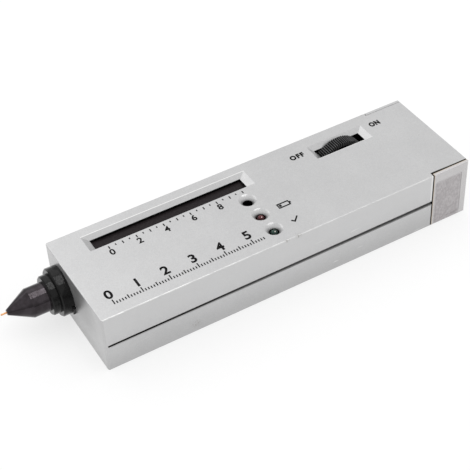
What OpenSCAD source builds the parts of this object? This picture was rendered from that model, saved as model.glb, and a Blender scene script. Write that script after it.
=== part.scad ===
// Hand-held thermal gem tester: a flat two-shell case with a sprung copper probe
// at the nose, a light-bar window, a thumbwheel and a pull-off battery cap.
// Millimetres. X runs from the probe to the rear, Y to the back side, Z up.
// Places along the case are measured from the outside of its nose wall.

/* [Case] */
// Length of the case without the probe
body_l = 140; // [138:1:180]
// Width of the case
body_w = 41.6; // [41:0.2:56]
// Height of the case
body_h = 22.4; // [22.2:0.2:30]
// Side wall thickness
wall = 1.8; // [1.4:0.1:2]
// Roof thickness
roof_t = 2.0; // [1.7:0.1:2.4]
// Floor thickness
floor_t = 2.0; // [1.6:0.1:2.4]
// Nose wall thickness
nose_t = 2.0; // [1.4:0.1:3]
// Radius of the upright corners at the nose
nose_corner_r = 1.0; // [0.5:0.1:2.5]
// Radius of the upright corners at the rear
rear_corner_r = 0.8; // [0.5:0.1:2.5]
// Radius of the long edges of roof and floor
edge_r = 0.3; // [0.2:0.1:0.7]

/* [Seam] */
// Height of the parting line
seam_z = 10; // [9.7:0.1:10.8]
// Width of the shadow gap at the nose
seam_gap_nose = 0.8; // [0.3:0.1:1.2]
// Width of the shadow gap at the battery cap
seam_gap_rear = 1.25; // [0.3:0.05:1.6]
// Height of the lip behind the gap
lip_h = 2.4; // [1.8:0.1:3.5]

/* [Battery cap] */
// Length of the cap
cap_l = 14.6; // [10:0.2:17]
// Gap between the cap and the shells
cap_gap = 0.4; // [0.2:0.05:0.5]
// Thickness of the cap's cheeks
cheek_t = 1.2; // [1:0.1:1.6]
// Gap between the roof's tongue and the front cheek
tongue_gap_front = 0.5; // [0.2:0.05:0.6]
// Gap between the roof's tongue and the back cheek
tongue_gap_back = 0.15; // [0.1:0.05:0.5]
// Thickness of the cap's end wall
cap_end_t = 1.8; // [1.2:0.1:2.4]
// Length of the floor tongue that laps into the bottom shell
cap_lap = 6; // [3:0.5:10]
// Width of the floor tongue
cap_lap_w = 24; // [10:1:30]
// Depth of the grip panels on the cheeks
grip_depth = 0.15; // [0.1:0.05:0.3]

/* [Display window] */
// Distance from the nose to the window's clear opening
window_front = 13.3; // [13:0.1:15]
// Length of the clear opening
window_l = 57; // [40:0.5:60]
// Width of the clear opening
window_w = 4.8; // [4:0.1:5.4]
// Distance from the middle of the case to the middle of the window
window_y = 13.1; // [12.4:0.1:13.4]
// Depth of the bevelled recesses
bevel_depth = 1.5; // [1:0.1:1.6]
// Run of the window's bevels at its ends
window_bevel_l = 2.4; // [1:0.1:3]
// Run of the window's bevels along its sides
window_bevel_w = 1.5; // [0.8:0.1:2]
// Thickness of the dark filter under the roof
filter_t = 1.0; // [0.8:0.1:1.4]
// Depth of the filter's face below the bevels
filter_sink = 0.9; // [0.4:0.1:1]
// Number of light bars under the filter
bar_count = 16; // [8:1:16]

/* [Indicator holes] */
// Distance from the nose to the row of holes
hole_x = 66.1; // [62:0.1:68]
// Distance from the middle of the case to the sound port
port_y = 3.1; // [2.4:0.1:3.6]
// Spacing of the holes across the case
hole_pitch = 8.4; // [8.2:0.1:9]
// Radius of the holes
hole_r = 1.7; // [1.6:0.05:2]
// Radius of the countersinks at the roof
hole_rim_r = 3.1; // [2.4:0.1:3.8]

/* [Thumbwheel] */
// Distance from the rear end to the wheel's axis
wheel_back = 31.1; // [28:0.1:33]
// Gap between the battery bay and the wheel
wheel_gap = 1; // [0.8:0.1:1.6]
// Radius over the ridges
wheel_r = 10; // [9:0.1:10.4]
// Thickness of the wheel
wheel_t = 4; // [2.8:0.1:4.2]
// Height of the wheel above the roof
wheel_proud = 0.8; // [0.4:0.1:1.2]
// Number of ridges round the rim
ridge_count = 80; // [30:1:90]
// Height of the ridges
ridge_h = 0.4; // [0.2:0.05:0.6]
// Length of the wheel's slot
slot_l = 18.4; // [15:0.2:19]
// Gap between the wheel and each side of its slot
slot_gap = 0.2; // [0.15:0.05:0.5]
// Run of the slot's bevels at its ends
slot_bevel_l = 2.1; // [1:0.1:3]
// Run of the slot's bevels along its sides
slot_bevel_w = 1.5; // [0.8:0.1:2]

/* [Probe] */
// Distance from the middle of the case to the probe's axis
probe_y = 9.5; // [8.8:0.1:10]
// Height of the probe's axis
probe_z = 11.2; // [10.8:0.1:11.6]
// Radius of the collar's flange
flange_r = 8.4; // [7.8:0.1:9]
// Length of the collar's flange
flange_l = 3.8; // [2:0.1:5]
// Radius of the collar's front ring
ring_r = 6.8; // [5.8:0.1:7.4]
// Length of the collar's front ring
ring_l = 2.7; // [1.5:0.1:4]
// Radius of the barrel
barrel_r = 5.05; // [4.8:0.05:5.6]
// Length of the barrel
barrel_l = 5.8; // [4.5:0.1:8]
// Length of the cone
cone_l = 7.8; // [6.5:0.1:10]
// Radius of the cone's end
cone_end_r = 0.92; // [0.7:0.02:1.2]
// Radius of the copper pin
pin_r = 0.3; // [0.25:0.05:0.45]
// Length of the pin in front of the cone
pin_out = 2.1; // [1.6:0.1:4]
// Travel of the pin
pin_travel = 1.2; // [0.6:0.1:1.5]

/* [Battery] */
// Length of the battery without its terminals
battery_l = 46.2; // [44:0.1:47]
// Width of the battery
battery_w = 26.2; // [25:0.1:26.5]
// Height of the battery
battery_h = 17; // [15.5:0.1:17.5]
// Height of the battery's terminals
terminal_h = 2.5; // [2:0.1:3]

/* [Circuit board] */
// Thickness of the board
board_t = 1.6; // [1:0.1:2]
// Height of the board above the floor
board_lift = 2.6; // [2:0.1:3]

/* [Fits] */
// Gap between fixed pieces
fit = 0.1; // [0.05:0.01:0.15]
// Radial gap of a shaft that turns or slides
run = 0.06; // [0.03:0.01:0.1]
// Room round loose pieces
room = 0.3; // [0.2:0.05:0.4]

/* [Hidden] */
$fn = 48;
eps = 0.01;

// Case levels and faces
half_w = body_w / 2;
inner_half = half_w - wall;
ceiling_z = body_h - roof_t;
bevel_z = body_h - bevel_depth;
cap_x = body_l - cap_l;
shell_x = cap_x - cap_gap;
cheek_half = half_w - cheek_t;
tongue_front_y = -cheek_half + tongue_gap_front;
tongue_back_y = cheek_half - tongue_gap_back;

// Guide ledges in the cap and margins of its grip panels
ledge_w = 0.8;
ledge_h = 1;
grip_margin_x0 = 1.4;
grip_margin_x1 = 2.8;
grip_margin_z0 = 1.6;
grip_margin_z1 = 3.5;

// Lip of the bottom shell, half the wall thick, and the rebate over it
lip_half = half_w - wall / 2;
rebate_half = lip_half + fit;

// Probe stations on its own axis, counted from the nose wall, negative outward
ring_x = -flange_l - ring_l;
shoulder_x = ring_x - barrel_l;
cone_x = shoulder_x - cone_l;
pin_x = cone_x - pin_out;
collar_edge = 0.4;
flange_seat = 2.8;
neck_r = flange_r - flange_seat;
neck_past_wall = 3.6;
neck_l = nose_t + neck_past_wall;
nut_l = 3;
nut_r = 7.5;
neck_wall = 1.35;
spigot_r = neck_r - neck_wall;
spigot_short = 2;
spigot_x = neck_l - spigot_short;
stop_in = 2.8;
stop_x = cone_x + stop_in;
chamber_r = 1.6;
collet_in = 3.3;
collet_x = shoulder_x + collet_in;
collet_r = 3.2;
stem_r = 0.7;
shoulder_l = 1.6;
stem_in = 3.5;
stem_x = ring_x + stem_in;
sensor_r = 1.4;
sensor_l = 4;
sensor_room_r = 1.8;
guide_l = 3;
sensor_room_x = stem_x + sensor_l + pin_travel + room;
holder_plug = 5;
holder_x = sensor_room_x + holder_plug;
lug_angle = -160;
lug_w = 3.6;
lug_l = 0.9;
lug_out = 0.7;

// The whole tester, probe included, is centred on the origin
centre_x = (body_l + pin_x) / 2;

// Spring between the pin's shoulder and the holder
spring_r = 1.15;
wire_r = 0.17;
spring_x = stop_x + shoulder_l + fit;
spring_l = collet_x - spring_x;
spring_turns = 7;
spring_steps = 8;
spring_sides = 6;
spring_rings = spring_turns * spring_steps;
spring_pitch = (spring_l - 2 * wire_r) / spring_turns;

// Battery against the front wall, its terminals toward the nose
battery_play_x = 0.8;
battery_play_y = 0.6;
battery_x = body_l - cap_end_t - battery_play_x - battery_l;
battery_y = -inner_half + battery_play_y + battery_w / 2;
battery_z = floor_t + room;
battery_edge_r = 2;
terminal_pitch = 12.7;
stud_r = 2.85;
socket_r = 4;
snap_x = battery_x - fit;
snap_l = 4.5;
snap_w = 25;
snap_h = 12.4;
rib_t = 1;
rib_y = battery_y + battery_w / 2 + room;
rib_h = 12;

// Thumbwheel and its potentiometer
wheel_x = body_l - wheel_back;
wheel_z = body_h + wheel_proud - wheel_r;
wheel_front_y = rib_y + rib_t + wheel_gap;
wheel_back_y = wheel_front_y + wheel_t;
wheel_y = (wheel_front_y + wheel_back_y) / 2;
slot_w = wheel_t + 2 * slot_gap;
hub_r = 4;
rim_t = 1.6;
web_r = wheel_r - rim_t;
web_cut = 0.7;
shaft_r = 1.5;
wheel_screw_r = 0.8;
wheel_screw_head_r = 1.9;
wheel_screw_head_h = 0.8;
wheel_screw_seat = 1.0;
wheel_screw_slot_h = 0.6;
wheel_screw_slot_w = 0.5;
wheel_screw_l = 3;
pot_foot_w = 11;
pot_gap = 0.4;
pot_front_y = wheel_back_y + pot_gap;
pot_back_y = inner_half - room;
shaft_in = (pot_back_y - pot_front_y) / 2;

// Case screws and the posts round them
post_r = 2.8;
boss_r = 3.2;
post_y = inner_half - post_r;
post_snap_gap = 1;
carrier_end = 0.3;
post_front_x = (nose_t + nut_l + window_front - carrier_end) / 2;
post_rear_x = snap_x - snap_l - boss_r - post_snap_gap;
screw_r = 1.1;
screw_head_r = 2;
screw_head_h = 1.5;
screw_seat = 4;
screw_l = 12;
pilot_l = screw_seat + screw_l - seam_z + room;
counterbore_gap = 0.2;
counterbore_r = screw_head_r + counterbore_gap;
cross_w = 0.5;
cross_l = 2.2;
cross_h = 0.7;
post_places = [for (x = [post_front_x, post_rear_x]) for (s = [-1, 1]) [x, s * post_y]];

// Circuit board: a main field and a narrow arm beside the battery
board_z = floor_t + board_lift;
board_top = board_z + board_t;
board_x0 = post_front_x + boss_r + room;
board_x1 = post_rear_x - boss_r - room;
pot_clear = 0.5;
pot_r = min(wheel_z - board_top, ceiling_z - wheel_z) - pot_clear;
board_gap = 0.4;
board_half = inner_half - board_gap;
arm_y = rib_y + rib_t + room;
arm_root_y = battery_y + snap_w / 2 + room;
arm_past_wheel = 2;
arm_x1 = wheel_x + wheel_r + arm_past_wheel;
board_screw_r = 0.9;
board_screw_head_r = 1.7;
board_screw_head_h = 1.2;
standoff_r = 2.2;
board_screw_in = 3;
probe_clear = 7;

// Light bars under the filter
window_x = window_front + window_l / 2;
filter_edge = 0.9;
filter_rim = 0.12;
rail_t = 0.8;
bar_pitch = window_l / bar_count;
bar_l = 2;
bar_side_gap = 0.2;
bar_w = window_w - 2 * bar_side_gap;
bar_h = 6;
bar_drop = 0.6;
bar_top = ceiling_z - filter_t - bar_drop;
bar_proud = 1.3;
carrier_top = bar_top - bar_proud;
carrier_wall = 0.9;
carrier_half = bar_w / 2 + carrier_wall;
leg_r = 0.25;

// Board screws clear of the probe at the nose and of the light carrier at the rear
board_places = [
    [board_x0 + board_screw_in, -board_half + board_screw_in],
    [board_x0 + board_screw_in, probe_y - probe_clear],
    [board_x1 - board_screw_in, -board_half + board_screw_in],
    [board_x1 - board_screw_in, window_y - carrier_half - board_screw_head_r - room]
];

// Lamps, buzzer and the other parts on the board
hole_count = 3;
lamp_r = 1.5;
lamp_flange_r = 1.85;
lamp_flange_h = 1;
lamp_l = 5.3;
lamp_proud = 0.6;
lamp_top = bevel_z + lamp_proud;
lamp_leg = 1.27;
buzzer_r = 5.8;
buzzer_drop = 4.7;
buzzer_h = ceiling_z - board_top - buzzer_drop;
chip_w = 6.4;
chip_h = 3.3;
chip_lift = 0.6;
chip_pin_pitch = 2.54;
chip_pin_w = 0.6;
chip_end = 0.4;
driver_pins = 9;
amp_pins = 7;
trimmer_w = 6.6;
trimmer_h = 5;
trimmer_pitch = 7.2;
trimmer_gap = 0.7;
trimmer_in = 8.8;
knob_r = 2.4;
knob_h = 0.6;
knob_slot_w = 0.6;
knob_slot_h = 0.4;
can_r = 2.5;
can_h = 11;
resistor_r = 0.95;
resistor_l = 6;
resistor_lift = 1.3;
lead_in = 1;
resistor_span = 9;
resistor_pitch = 2.8;
resistor_gap = 1;
resistor_x = hole_x - buzzer_r - resistor_span / 2 - resistor_gap;
resistor_count = 4;
resistor_half = (resistor_count - 1) / 2 * resistor_pitch + resistor_r;
can_gap = 1;
can_clear = 3.95;
lead_r = 0.6;
lead_pitch = 5;
lead_straight = 3;
lead_side = 2;
lead_rise = 2.5;
lead_board_in = 2;
fine_lead_r = 0.3;
fine_lead_pitch = 2.8;
fine_lead_straight = 1.5;
fine_lead_rise = 2;
fine_lead_side = 2.6;
fine_lead_step = 1;

// Bar driver beside the light bars and amplifier toward the front wall
chip_gap = 4.3;
chip_clear = 1;
chip_l = driver_pins * chip_pin_pitch + 2 * chip_end;
chip_x = resistor_x - resistor_span / 2 - chip_clear - chip_l / 2;
chip_y = window_y - carrier_half - chip_gap - chip_w / 2;
amp_in = 9.1;
amp_y = -board_half + amp_in;

// Outline with rounded corners: l along x from 0, w centred on y
module rounded_rect(l, w, r0, r1) {
    for (s = [-1, 1]) {
        translate([r0, s * (w / 2 - r0)]) circle(r0);
        translate([l - r1, s * (w / 2 - r1)]) circle(r1);
    }
    polygon([
        [0, -w / 2 + r0], [r0, -w / 2], [l - r1, -w / 2], [l, -w / 2 + r1],
        [l, w / 2 - r1], [l - r1, w / 2], [r0, w / 2], [0, w / 2 - r0]
    ]);
}

// Outer form of the closed case: plan, cross-section and side view in one
module envelope() {
    intersection() {
        linear_extrude(body_h) rounded_rect(body_l, body_w, nose_corner_r, rear_corner_r);
        rotate([0, -90, 180]) linear_extrude(body_l) rounded_rect(body_h, body_w, edge_r, edge_r);
        translate([body_l / 2, -half_w, 0]) rotate([0, -90, -90])
            linear_extrude(body_w) rounded_rect(body_h, body_l, edge_r, edge_r);
    }
}

// Shape drawn in side view (x, z) and carried across the width w
module across(w) {
    translate([0, w / 2, 0]) rotate([90, 0, 0]) linear_extrude(w) children();
}

// Box between two corners
module block(a, b) {
    translate(a) cube(b - a);
}

// Recess with sloped sides that opens from l by w at its bottom, its middle at (x, y)
module bevelled_recess(x, y, l, w, run_l, run_w) {
    top_l = l / 2 + run_l;
    top_w = w / 2 + run_w;
    over = 1 + eps;
    translate([x, y, bevel_z]) intersection() {
        across(2 * top_w * over) polygon([
            [-l / 2, 0], [l / 2, 0], [top_l, bevel_depth], [top_l, bevel_depth + 1],
            [-top_l, bevel_depth + 1], [-top_l, bevel_depth]
        ]);
        rotate([0, 0, 90]) across(2 * top_l * over) polygon([
            [-w / 2, 0], [w / 2, 0], [top_w, bevel_depth], [top_w, bevel_depth + 1],
            [-top_w, bevel_depth + 1], [-top_w, bevel_depth]
        ]);
    }
}

// Revolved shape on the probe's axis, outline given as (radius, x)
module on_probe(outline) {
    translate([0, probe_y, probe_z]) rotate([0, 90, 0]) rotate_extrude() polygon(outline);
}

// Cylinder along Y on the wheel's axis between two places
module on_wheel(r, y0, y1) {
    translate([wheel_x, y0, wheel_z]) rotate([-90, 0, 0]) cylinder(h = y1 - y0, r = r);
}

// Round rod from a to b
module rod(a, b, r) {
    v = b - a;
    translate(a) rotate([0, acos(v.z / norm(v)), atan2(v.y, v.x)]) cylinder(h = norm(v), r = r);
}

// Unit vector, and the heading of a route at point i, halved at its bends
function unit(v) = v / norm(v);
function heading(route, i) = unit(
    (i > 0 ? unit(route[i] - route[i - 1]) : [0, 0, 0])
    + (i < len(route) - 1 ? unit(route[i + 1] - route[i]) : [0, 0, 0])
);

// Skin over rings of n points each, given one after the other
module tube(points, n) {
    last = len(points) - n;
    sides = [
        for (i = [0 : n : last - n], j = [0 : n - 1])
            let (a = i + j, b = i + (j + 1) % n)
            each [[a, a + n, b], [b, a + n, b + n]]
    ];
    ends = [for (j = [1 : n - 2]) each [[0, j, j + 1], [last, last + j + 1, last + j]]];
    polyhedron(points, concat(sides, ends));
}

// Wire along a route that never runs straight across the case
module wire(route, r) {
    n = 8;
    tube([
        for (i = [0 : len(route) - 1], j = [0 : n - 1])
            let (u = unit(cross(heading(route, i), [0, 1, 0])))
            let (v = cross(heading(route, i), u))
            route[i] + r * (u * cos(j * 360 / n) + v * sin(j * 360 / n))
    ], n);
}

// Moves a piece from case measures to the origin of the whole tester
module placed() {
    translate([-centre_x, 0, 0]) children();
}

module top_shell() {
    color("silver") placed() difference() {
        union() {
            difference() {
                intersection() {
                    envelope();
                    union() {
                        across(body_w) polygon([
                            [0, seam_z], [nose_corner_r, seam_z],
                            [nose_corner_r, seam_z + seam_gap_nose],
                            [shell_x, seam_z + seam_gap_rear], [shell_x, body_h], [0, body_h]
                        ]);
                        block([shell_x - 1, tongue_front_y, ceiling_z],
                            [body_l, tongue_back_y, body_h]);
                    }
                }
                block([nose_t, -inner_half, 0], [shell_x + eps, inner_half, ceiling_z]);
                block([nose_t, -rebate_half, 0],
                    [shell_x + eps, rebate_half, seam_z + lip_h + fit]);
            }
            for (q = post_places)
                translate([q.x, q.y, seam_z]) cylinder(h = ceiling_z - seam_z + eps, r = post_r);
            filter_rails();
        }
        bevelled_recess(window_x, window_y, window_l, window_w, window_bevel_l, window_bevel_w);
        translate([window_x, window_y, body_h / 2 + ceiling_z / 2])
            cube([window_l, window_w, 2 * roof_t], center = true);
        bevelled_recess(wheel_x, wheel_y, slot_l, slot_w, slot_bevel_l, slot_bevel_w);
        translate([wheel_x, wheel_y, body_h / 2 + ceiling_z / 2])
            cube([slot_l, slot_w, 2 * roof_t], center = true);
        for (i = [0 : hole_count - 1]) translate([hole_x, port_y - i * hole_pitch, 0]) {
            translate([0, 0, ceiling_z - eps]) cylinder(h = roof_t, r = hole_r);
            translate([0, 0, bevel_z]) cylinder(h = bevel_depth, r1 = hole_r, r2 = hole_rim_r);
        }
        translate([-eps, probe_y, probe_z]) rotate([0, 90, 0])
            cylinder(h = nose_t + 2 * eps, r = neck_r + fit);
        for (q = post_places)
            translate([q.x, q.y, seam_z - eps]) cylinder(h = pilot_l, r = screw_r + fit / 2);
    }
}

// Rails under the roof that hold the filter on its four sides
module filter_rails() {
    l = window_l / 2 + filter_edge + fit;
    w = window_w / 2 + filter_edge + fit;
    translate([window_x, window_y, ceiling_z - filter_t]) difference() {
        block([-l - rail_t, -w - rail_t, 0], [l + rail_t, w + rail_t, filter_t + eps]);
        block([-l, -w, -1], [l, w, filter_t]);
    }
}

module bottom_shell() {
    lap_x = cap_x - cap_lap - cap_gap;
    lap_half = cap_lap_w / 2 + cap_gap;
    color("silver") placed() difference() {
        union() {
            difference() {
                union() {
                    intersection() {
                        envelope();
                        block([0, -half_w, 0], [shell_x, half_w, seam_z]);
                    }
                    block([nose_t, -lip_half, seam_z - eps], [shell_x, lip_half, seam_z + lip_h]);
                }
                block([nose_t, -inner_half, floor_t], [shell_x + eps, inner_half, body_h]);
            }
            for (q = post_places)
                translate([q.x, q.y, floor_t - eps]) cylinder(h = seam_z - floor_t + eps, r = boss_r);
            for (q = board_places)
                translate([q.x, q.y, floor_t - eps]) cylinder(h = board_lift + eps, r = standoff_r);
            block([battery_x, rib_y, floor_t - eps], [shell_x, rib_y + rib_t, floor_t + rib_h]);
        }
        for (q = post_places) translate([q.x, q.y, -eps]) {
            cylinder(h = screw_seat + eps, r = counterbore_r);
            cylinder(h = seam_z + lip_h, r = screw_r + fit);
        }
        for (q = board_places)
            translate([q.x, q.y, floor_t]) cylinder(h = board_lift + 1, r = board_screw_r + fit / 2);
        translate([-eps, probe_y, probe_z]) rotate([0, 90, 0])
            cylinder(h = nose_t + 2 * eps, r = neck_r + fit);
        block([lap_x, -lap_half, floor_t / 2], [shell_x + 1, lap_half, floor_t + eps]);
    }
}

// Pull-off end: floor, two cheeks beside the roof's tongue, and an end wall under it
module battery_cap() {
    under_z = ceiling_z - cap_gap;
    end_x = body_l - cap_end_t;
    grip_x0 = cap_x + grip_margin_x0;
    grip_x1 = body_l - grip_margin_x1;
    grip_z1 = body_h - grip_margin_z1;
    color("silver") placed() {
        difference() {
            intersection() {
                envelope();
                block([cap_x, -half_w, 0], [body_l, half_w, body_h]);
            }
            block([cap_x - eps, -cheek_half, floor_t], [end_x, cheek_half, body_h + eps]);
            block([cap_x - eps, -cheek_half, under_z], [body_l + eps, cheek_half, body_h + eps]);
            for (s = [-1, 1]) translate([0, s * half_w, 0])
                block([grip_x0, -grip_depth, grip_margin_z0], [grip_x1, grip_depth, grip_z1]);
        }
        for (s = [-1, 1]) translate([0, s * (cheek_half - ledge_w / 2), 0])
            block([cap_x, -ledge_w / 2 - eps, under_z - ledge_h],
                [end_x + eps, ledge_w / 2 + eps, under_z]);
        block([cap_x - cap_lap, -cap_lap_w / 2, floor_t / 2 + fit],
            [cap_x + 1, cap_lap_w / 2, floor_t]);
    }
}

module case_screws() {
    color("dimgray") placed() for (q = post_places) translate([q.x, q.y, screw_seat]) difference() {
        union() {
            translate([0, 0, -screw_head_h]) cylinder(h = screw_head_h, r = screw_head_r);
            translate([0, 0, -eps]) cylinder(h = screw_l, r = screw_r);
        }
        for (a = [0, 90]) rotate(a) translate([0, 0, -screw_head_h])
            cube([cross_l, cross_w, 2 * cross_h], center = true);
    }
}

// Dark tray: a plate under the roof and a thin rim that lines the opening up to the bevels
module display_window() {
    l = window_l / 2 + filter_edge;
    w = window_w / 2 + filter_edge;
    rim_l = window_l / 2 - fit;
    rim_w = window_w / 2 - fit;
    rim_h = roof_t - bevel_depth;
    color([0.12, 0.09, 0.09]) placed() translate([window_x, window_y, ceiling_z]) difference() {
        union() {
            block([-l, -w, -filter_t], [l, w, 0]);
            block([-rim_l, -rim_w, -eps], [rim_l, rim_w, rim_h]);
        }
        block([-rim_l + filter_rim, -rim_w + filter_rim, rim_h - filter_sink],
            [rim_l - filter_rim, rim_w - filter_rim, rim_h + 1]);
    }
}

function bar_place(i) = window_x + (i - (bar_count - 1) / 2) * bar_pitch;

module light_bars() {
    color("darkred") placed() for (i = [0 : bar_count - 1]) translate([bar_place(i), window_y, 0]) {
        block([-bar_l / 2, -bar_w / 2, bar_top - bar_h], [bar_l / 2, bar_w / 2, bar_top]);
        for (s = [-1, 1]) translate([0, s * lamp_leg, board_top])
            cylinder(h = bar_top - bar_h - board_top + eps, r = leg_r);
    }
}

module light_carrier() {
    l = window_l / 2 + carrier_end;
    color([0.1, 0.1, 0.1]) placed() difference() {
        translate([window_x, window_y, 0])
            block([-l, -carrier_half, board_top], [l, carrier_half, carrier_top]);
        for (i = [0 : bar_count - 1]) translate([bar_place(i), window_y, 0])
            block([-bar_l / 2 - fit, -bar_w / 2 - fit, 0], [bar_l / 2 + fit, bar_w / 2 + fit, body_h]);
    }
}

// Round lamp under hole number i of the row
module lamp(i) {
    placed() translate([hole_x, port_y - i * hole_pitch, lamp_top - lamp_l]) {
        cylinder(h = lamp_flange_h, r = lamp_flange_r);
        cylinder(h = lamp_l - lamp_r, r = lamp_r);
        translate([0, 0, lamp_l - lamp_r]) sphere(lamp_r);
        for (s = [-1, 1]) translate([s * lamp_leg, 0, board_top - lamp_top + lamp_l])
            cylinder(h = lamp_top - lamp_l - board_top + eps, r = leg_r);
    }
}

module low_battery_lamp() {
    color("firebrick") lamp(1);
}

module ready_lamp() {
    color("seagreen") lamp(2);
}

module buzzer() {
    vent_r = 1;
    vent_h = 2.5;
    color([0.08, 0.08, 0.08]) placed() translate([hole_x, port_y, board_top]) difference() {
        cylinder(h = buzzer_h, r = buzzer_r);
        translate([0, 0, buzzer_h - vent_h]) cylinder(h = vent_h + 1, r = vent_r);
    }
}

module circuit_board() {
    color([0.55, 0.4, 0.2]) placed() difference() {
        union() {
            block([board_x0, -board_half, board_z], [board_x1, board_half, board_top]);
            block([board_x1 - eps, arm_root_y, board_z], [battery_x - room, board_half, board_top]);
            block([board_x1, arm_y, board_z], [arm_x1, board_half, board_top]);
        }
        for (q = post_places) translate([q.x, q.y, 0]) cylinder(h = body_h, r = boss_r + room);
        for (q = board_places) translate([q.x, q.y, 0]) cylinder(h = body_h, r = board_screw_r + fit);
        block([wheel_x - wheel_r - room, arm_y - 1, 0],
            [wheel_x + wheel_r + room, wheel_back_y + room, body_h]);
    }
}

module board_screws() {
    color("silver") placed() for (q = board_places) translate([q.x, q.y, board_top]) {
        cylinder(h = board_screw_head_h, r = board_screw_head_r);
        translate([0, 0, -board_t - board_lift + fit]) cylinder(h = board_t + board_lift, r = board_screw_r);
    }
}

// Chip with two rows of pins, its middle at (x, y)
module chip(x, y, pins) {
    l = pins * chip_pin_pitch + 2 * chip_end;
    translate([x, y, board_top]) {
        block([-l / 2, -chip_w / 2, chip_lift], [l / 2, chip_w / 2, chip_lift + chip_h]);
        for (i = [0 : pins - 1]) for (s = [-1, 1])
            translate([(i - (pins - 1) / 2) * chip_pin_pitch, s * (chip_w / 2), 0])
                block([-chip_pin_w / 2, -chip_pin_w / 2, 0],
                    [chip_pin_w / 2, chip_pin_w / 2, chip_lift + chip_h / 2]);
    }
}

module board_chips() {
    color([0.15, 0.15, 0.16]) placed() {
        chip(chip_x, chip_y, driver_pins);
        chip(chip_x - chip_pin_pitch / 2, amp_y, amp_pins);
    }
}

module trimmers() {
    x = chip_x - chip_l / 2 - trimmer_gap - trimmer_w / 2;
    color("royalblue") placed() for (i = [0, 1])
        translate([x, -board_half + trimmer_in + i * trimmer_pitch, board_top])
            difference() {
                union() {
                    block([-trimmer_w / 2, -trimmer_w / 2, 0], [trimmer_w / 2, trimmer_w / 2, trimmer_h]);
                    translate([0, 0, trimmer_h - eps]) cylinder(h = knob_h, r = knob_r);
                }
                translate([0, 0, trimmer_h + knob_h])
                    cube([2 * knob_r, knob_slot_w, 2 * knob_slot_h], center = true);
            }
}

module capacitors() {
    y = port_y - resistor_half - can_clear - can_r;
    color([0.1, 0.12, 0.2]) placed() for (s = [-1, 1])
        translate([resistor_x + s * (can_r + can_gap), y, board_top]) cylinder(h = can_h, r = can_r);
}

module resistors() {
    z = board_top + resistor_lift;
    first_y = port_y - (resistor_count - 1) / 2 * resistor_pitch;
    color("tan") placed() for (i = [0 : resistor_count - 1])
        translate([resistor_x, first_y + i * resistor_pitch, 0]) {
            translate([-resistor_l / 2, 0, z]) rotate([0, 90, 0]) cylinder(h = resistor_l, r = resistor_r);
            for (s = [-1, 1]) {
                bend = s * resistor_span / 2;
                rod([s * (resistor_l / 2 - lead_in), 0, z], [bend, 0, z], leg_r);
                rod([bend, 0, board_top], [bend, 0, z + leg_r], leg_r);
            }
        }
}

// Switch potentiometer standing on the board's arm behind the wheel
module potentiometer() {
    color([0.25, 0.25, 0.27]) placed() difference() {
        union() {
            on_wheel(pot_r, pot_front_y, pot_back_y);
            block([wheel_x - pot_foot_w / 2, pot_front_y, board_top],
                [wheel_x + pot_foot_w / 2, pot_back_y, wheel_z]);
        }
        on_wheel(shaft_r + run, pot_front_y - 1, pot_front_y + shaft_in + fit);
    }
}

module potentiometer_shaft() {
    color("lightgray") placed() difference() {
        on_wheel(shaft_r, wheel_front_y + wheel_screw_seat, pot_front_y + shaft_in);
        on_wheel(wheel_screw_r + fit / 2, wheel_front_y,
            wheel_front_y + wheel_screw_seat + wheel_screw_l + fit);
    }
}

// Rim outline with one flat-topped ridge per step
function ridge_points() = [
    for (i = [0 : ridge_count - 1], k = [0 : 3])
        let (a = (i + [0, 0.2, 0.5, 0.7][k]) * 360 / ridge_count)
        let (r = k == 1 || k == 2 ? wheel_r : wheel_r - ridge_h)
        r * [cos(a), sin(a)]
];

module thumbwheel() {
    color([0.07, 0.07, 0.07]) placed() difference() {
        translate([wheel_x, wheel_front_y, wheel_z]) rotate([-90, 0, 0])
            linear_extrude(wheel_t) polygon(ridge_points());
        for (y = [wheel_front_y - 1, wheel_back_y - web_cut]) difference() {
            on_wheel(web_r, y, y + 1 + web_cut);
            on_wheel(hub_r, y - 1, y + 3);
        }
        on_wheel(shaft_r + fit / 2, wheel_front_y - 1, wheel_back_y + 1);
        on_wheel(wheel_screw_head_r + fit, wheel_front_y - 1, wheel_front_y + wheel_screw_seat);
    }
}

module thumbwheel_screw() {
    seat_y = wheel_front_y + wheel_screw_seat;
    color("silver") placed() difference() {
        union() {
            on_wheel(wheel_screw_head_r, seat_y - wheel_screw_head_h, seat_y);
            on_wheel(wheel_screw_r, seat_y - eps, seat_y + wheel_screw_l);
        }
        translate([wheel_x, seat_y - wheel_screw_head_h, wheel_z])
            cube([3 * wheel_screw_head_r, wheel_screw_slot_h, wheel_screw_slot_w], center = true);
    }
}

module battery() {
    color("black") placed() translate([battery_x, battery_y, battery_z])
        rotate([0, -90, 180]) linear_extrude(battery_l)
            rounded_rect(battery_h, battery_w, battery_edge_r, battery_edge_r);
}

// Stud (s = 1) and socket (s = -1) on the battery's end, or bores for them
module terminal(s, r, x0, x1) {
    translate([x0, battery_y + s * terminal_pitch / 2, battery_z + battery_h / 2])
        rotate([0, 90, 0]) cylinder(h = x1 - x0, r = r);
}

module battery_terminals() {
    socket_wall = 0.6;
    x0 = battery_x - terminal_h;
    color("gainsboro") placed() {
        terminal(1, stud_r, x0, battery_x);
        difference() {
            terminal(-1, socket_r, x0, battery_x);
            terminal(-1, socket_r - socket_wall, x0 - 1, battery_x - socket_wall);
        }
    }
}

module battery_snap() {
    x0 = snap_x - snap_l;
    z = battery_z + battery_h / 2;
    bore_x = battery_x - terminal_h - fit;
    color([0.08, 0.08, 0.08]) placed() difference() {
        translate([(x0 + snap_x) / 2, battery_y, z]) cube([snap_l, snap_w, snap_h], center = true);
        terminal(1, stud_r + fit, bore_x, snap_x + 1);
        terminal(-1, socket_r + fit, bore_x, snap_x + 1);
    }
}

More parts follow.
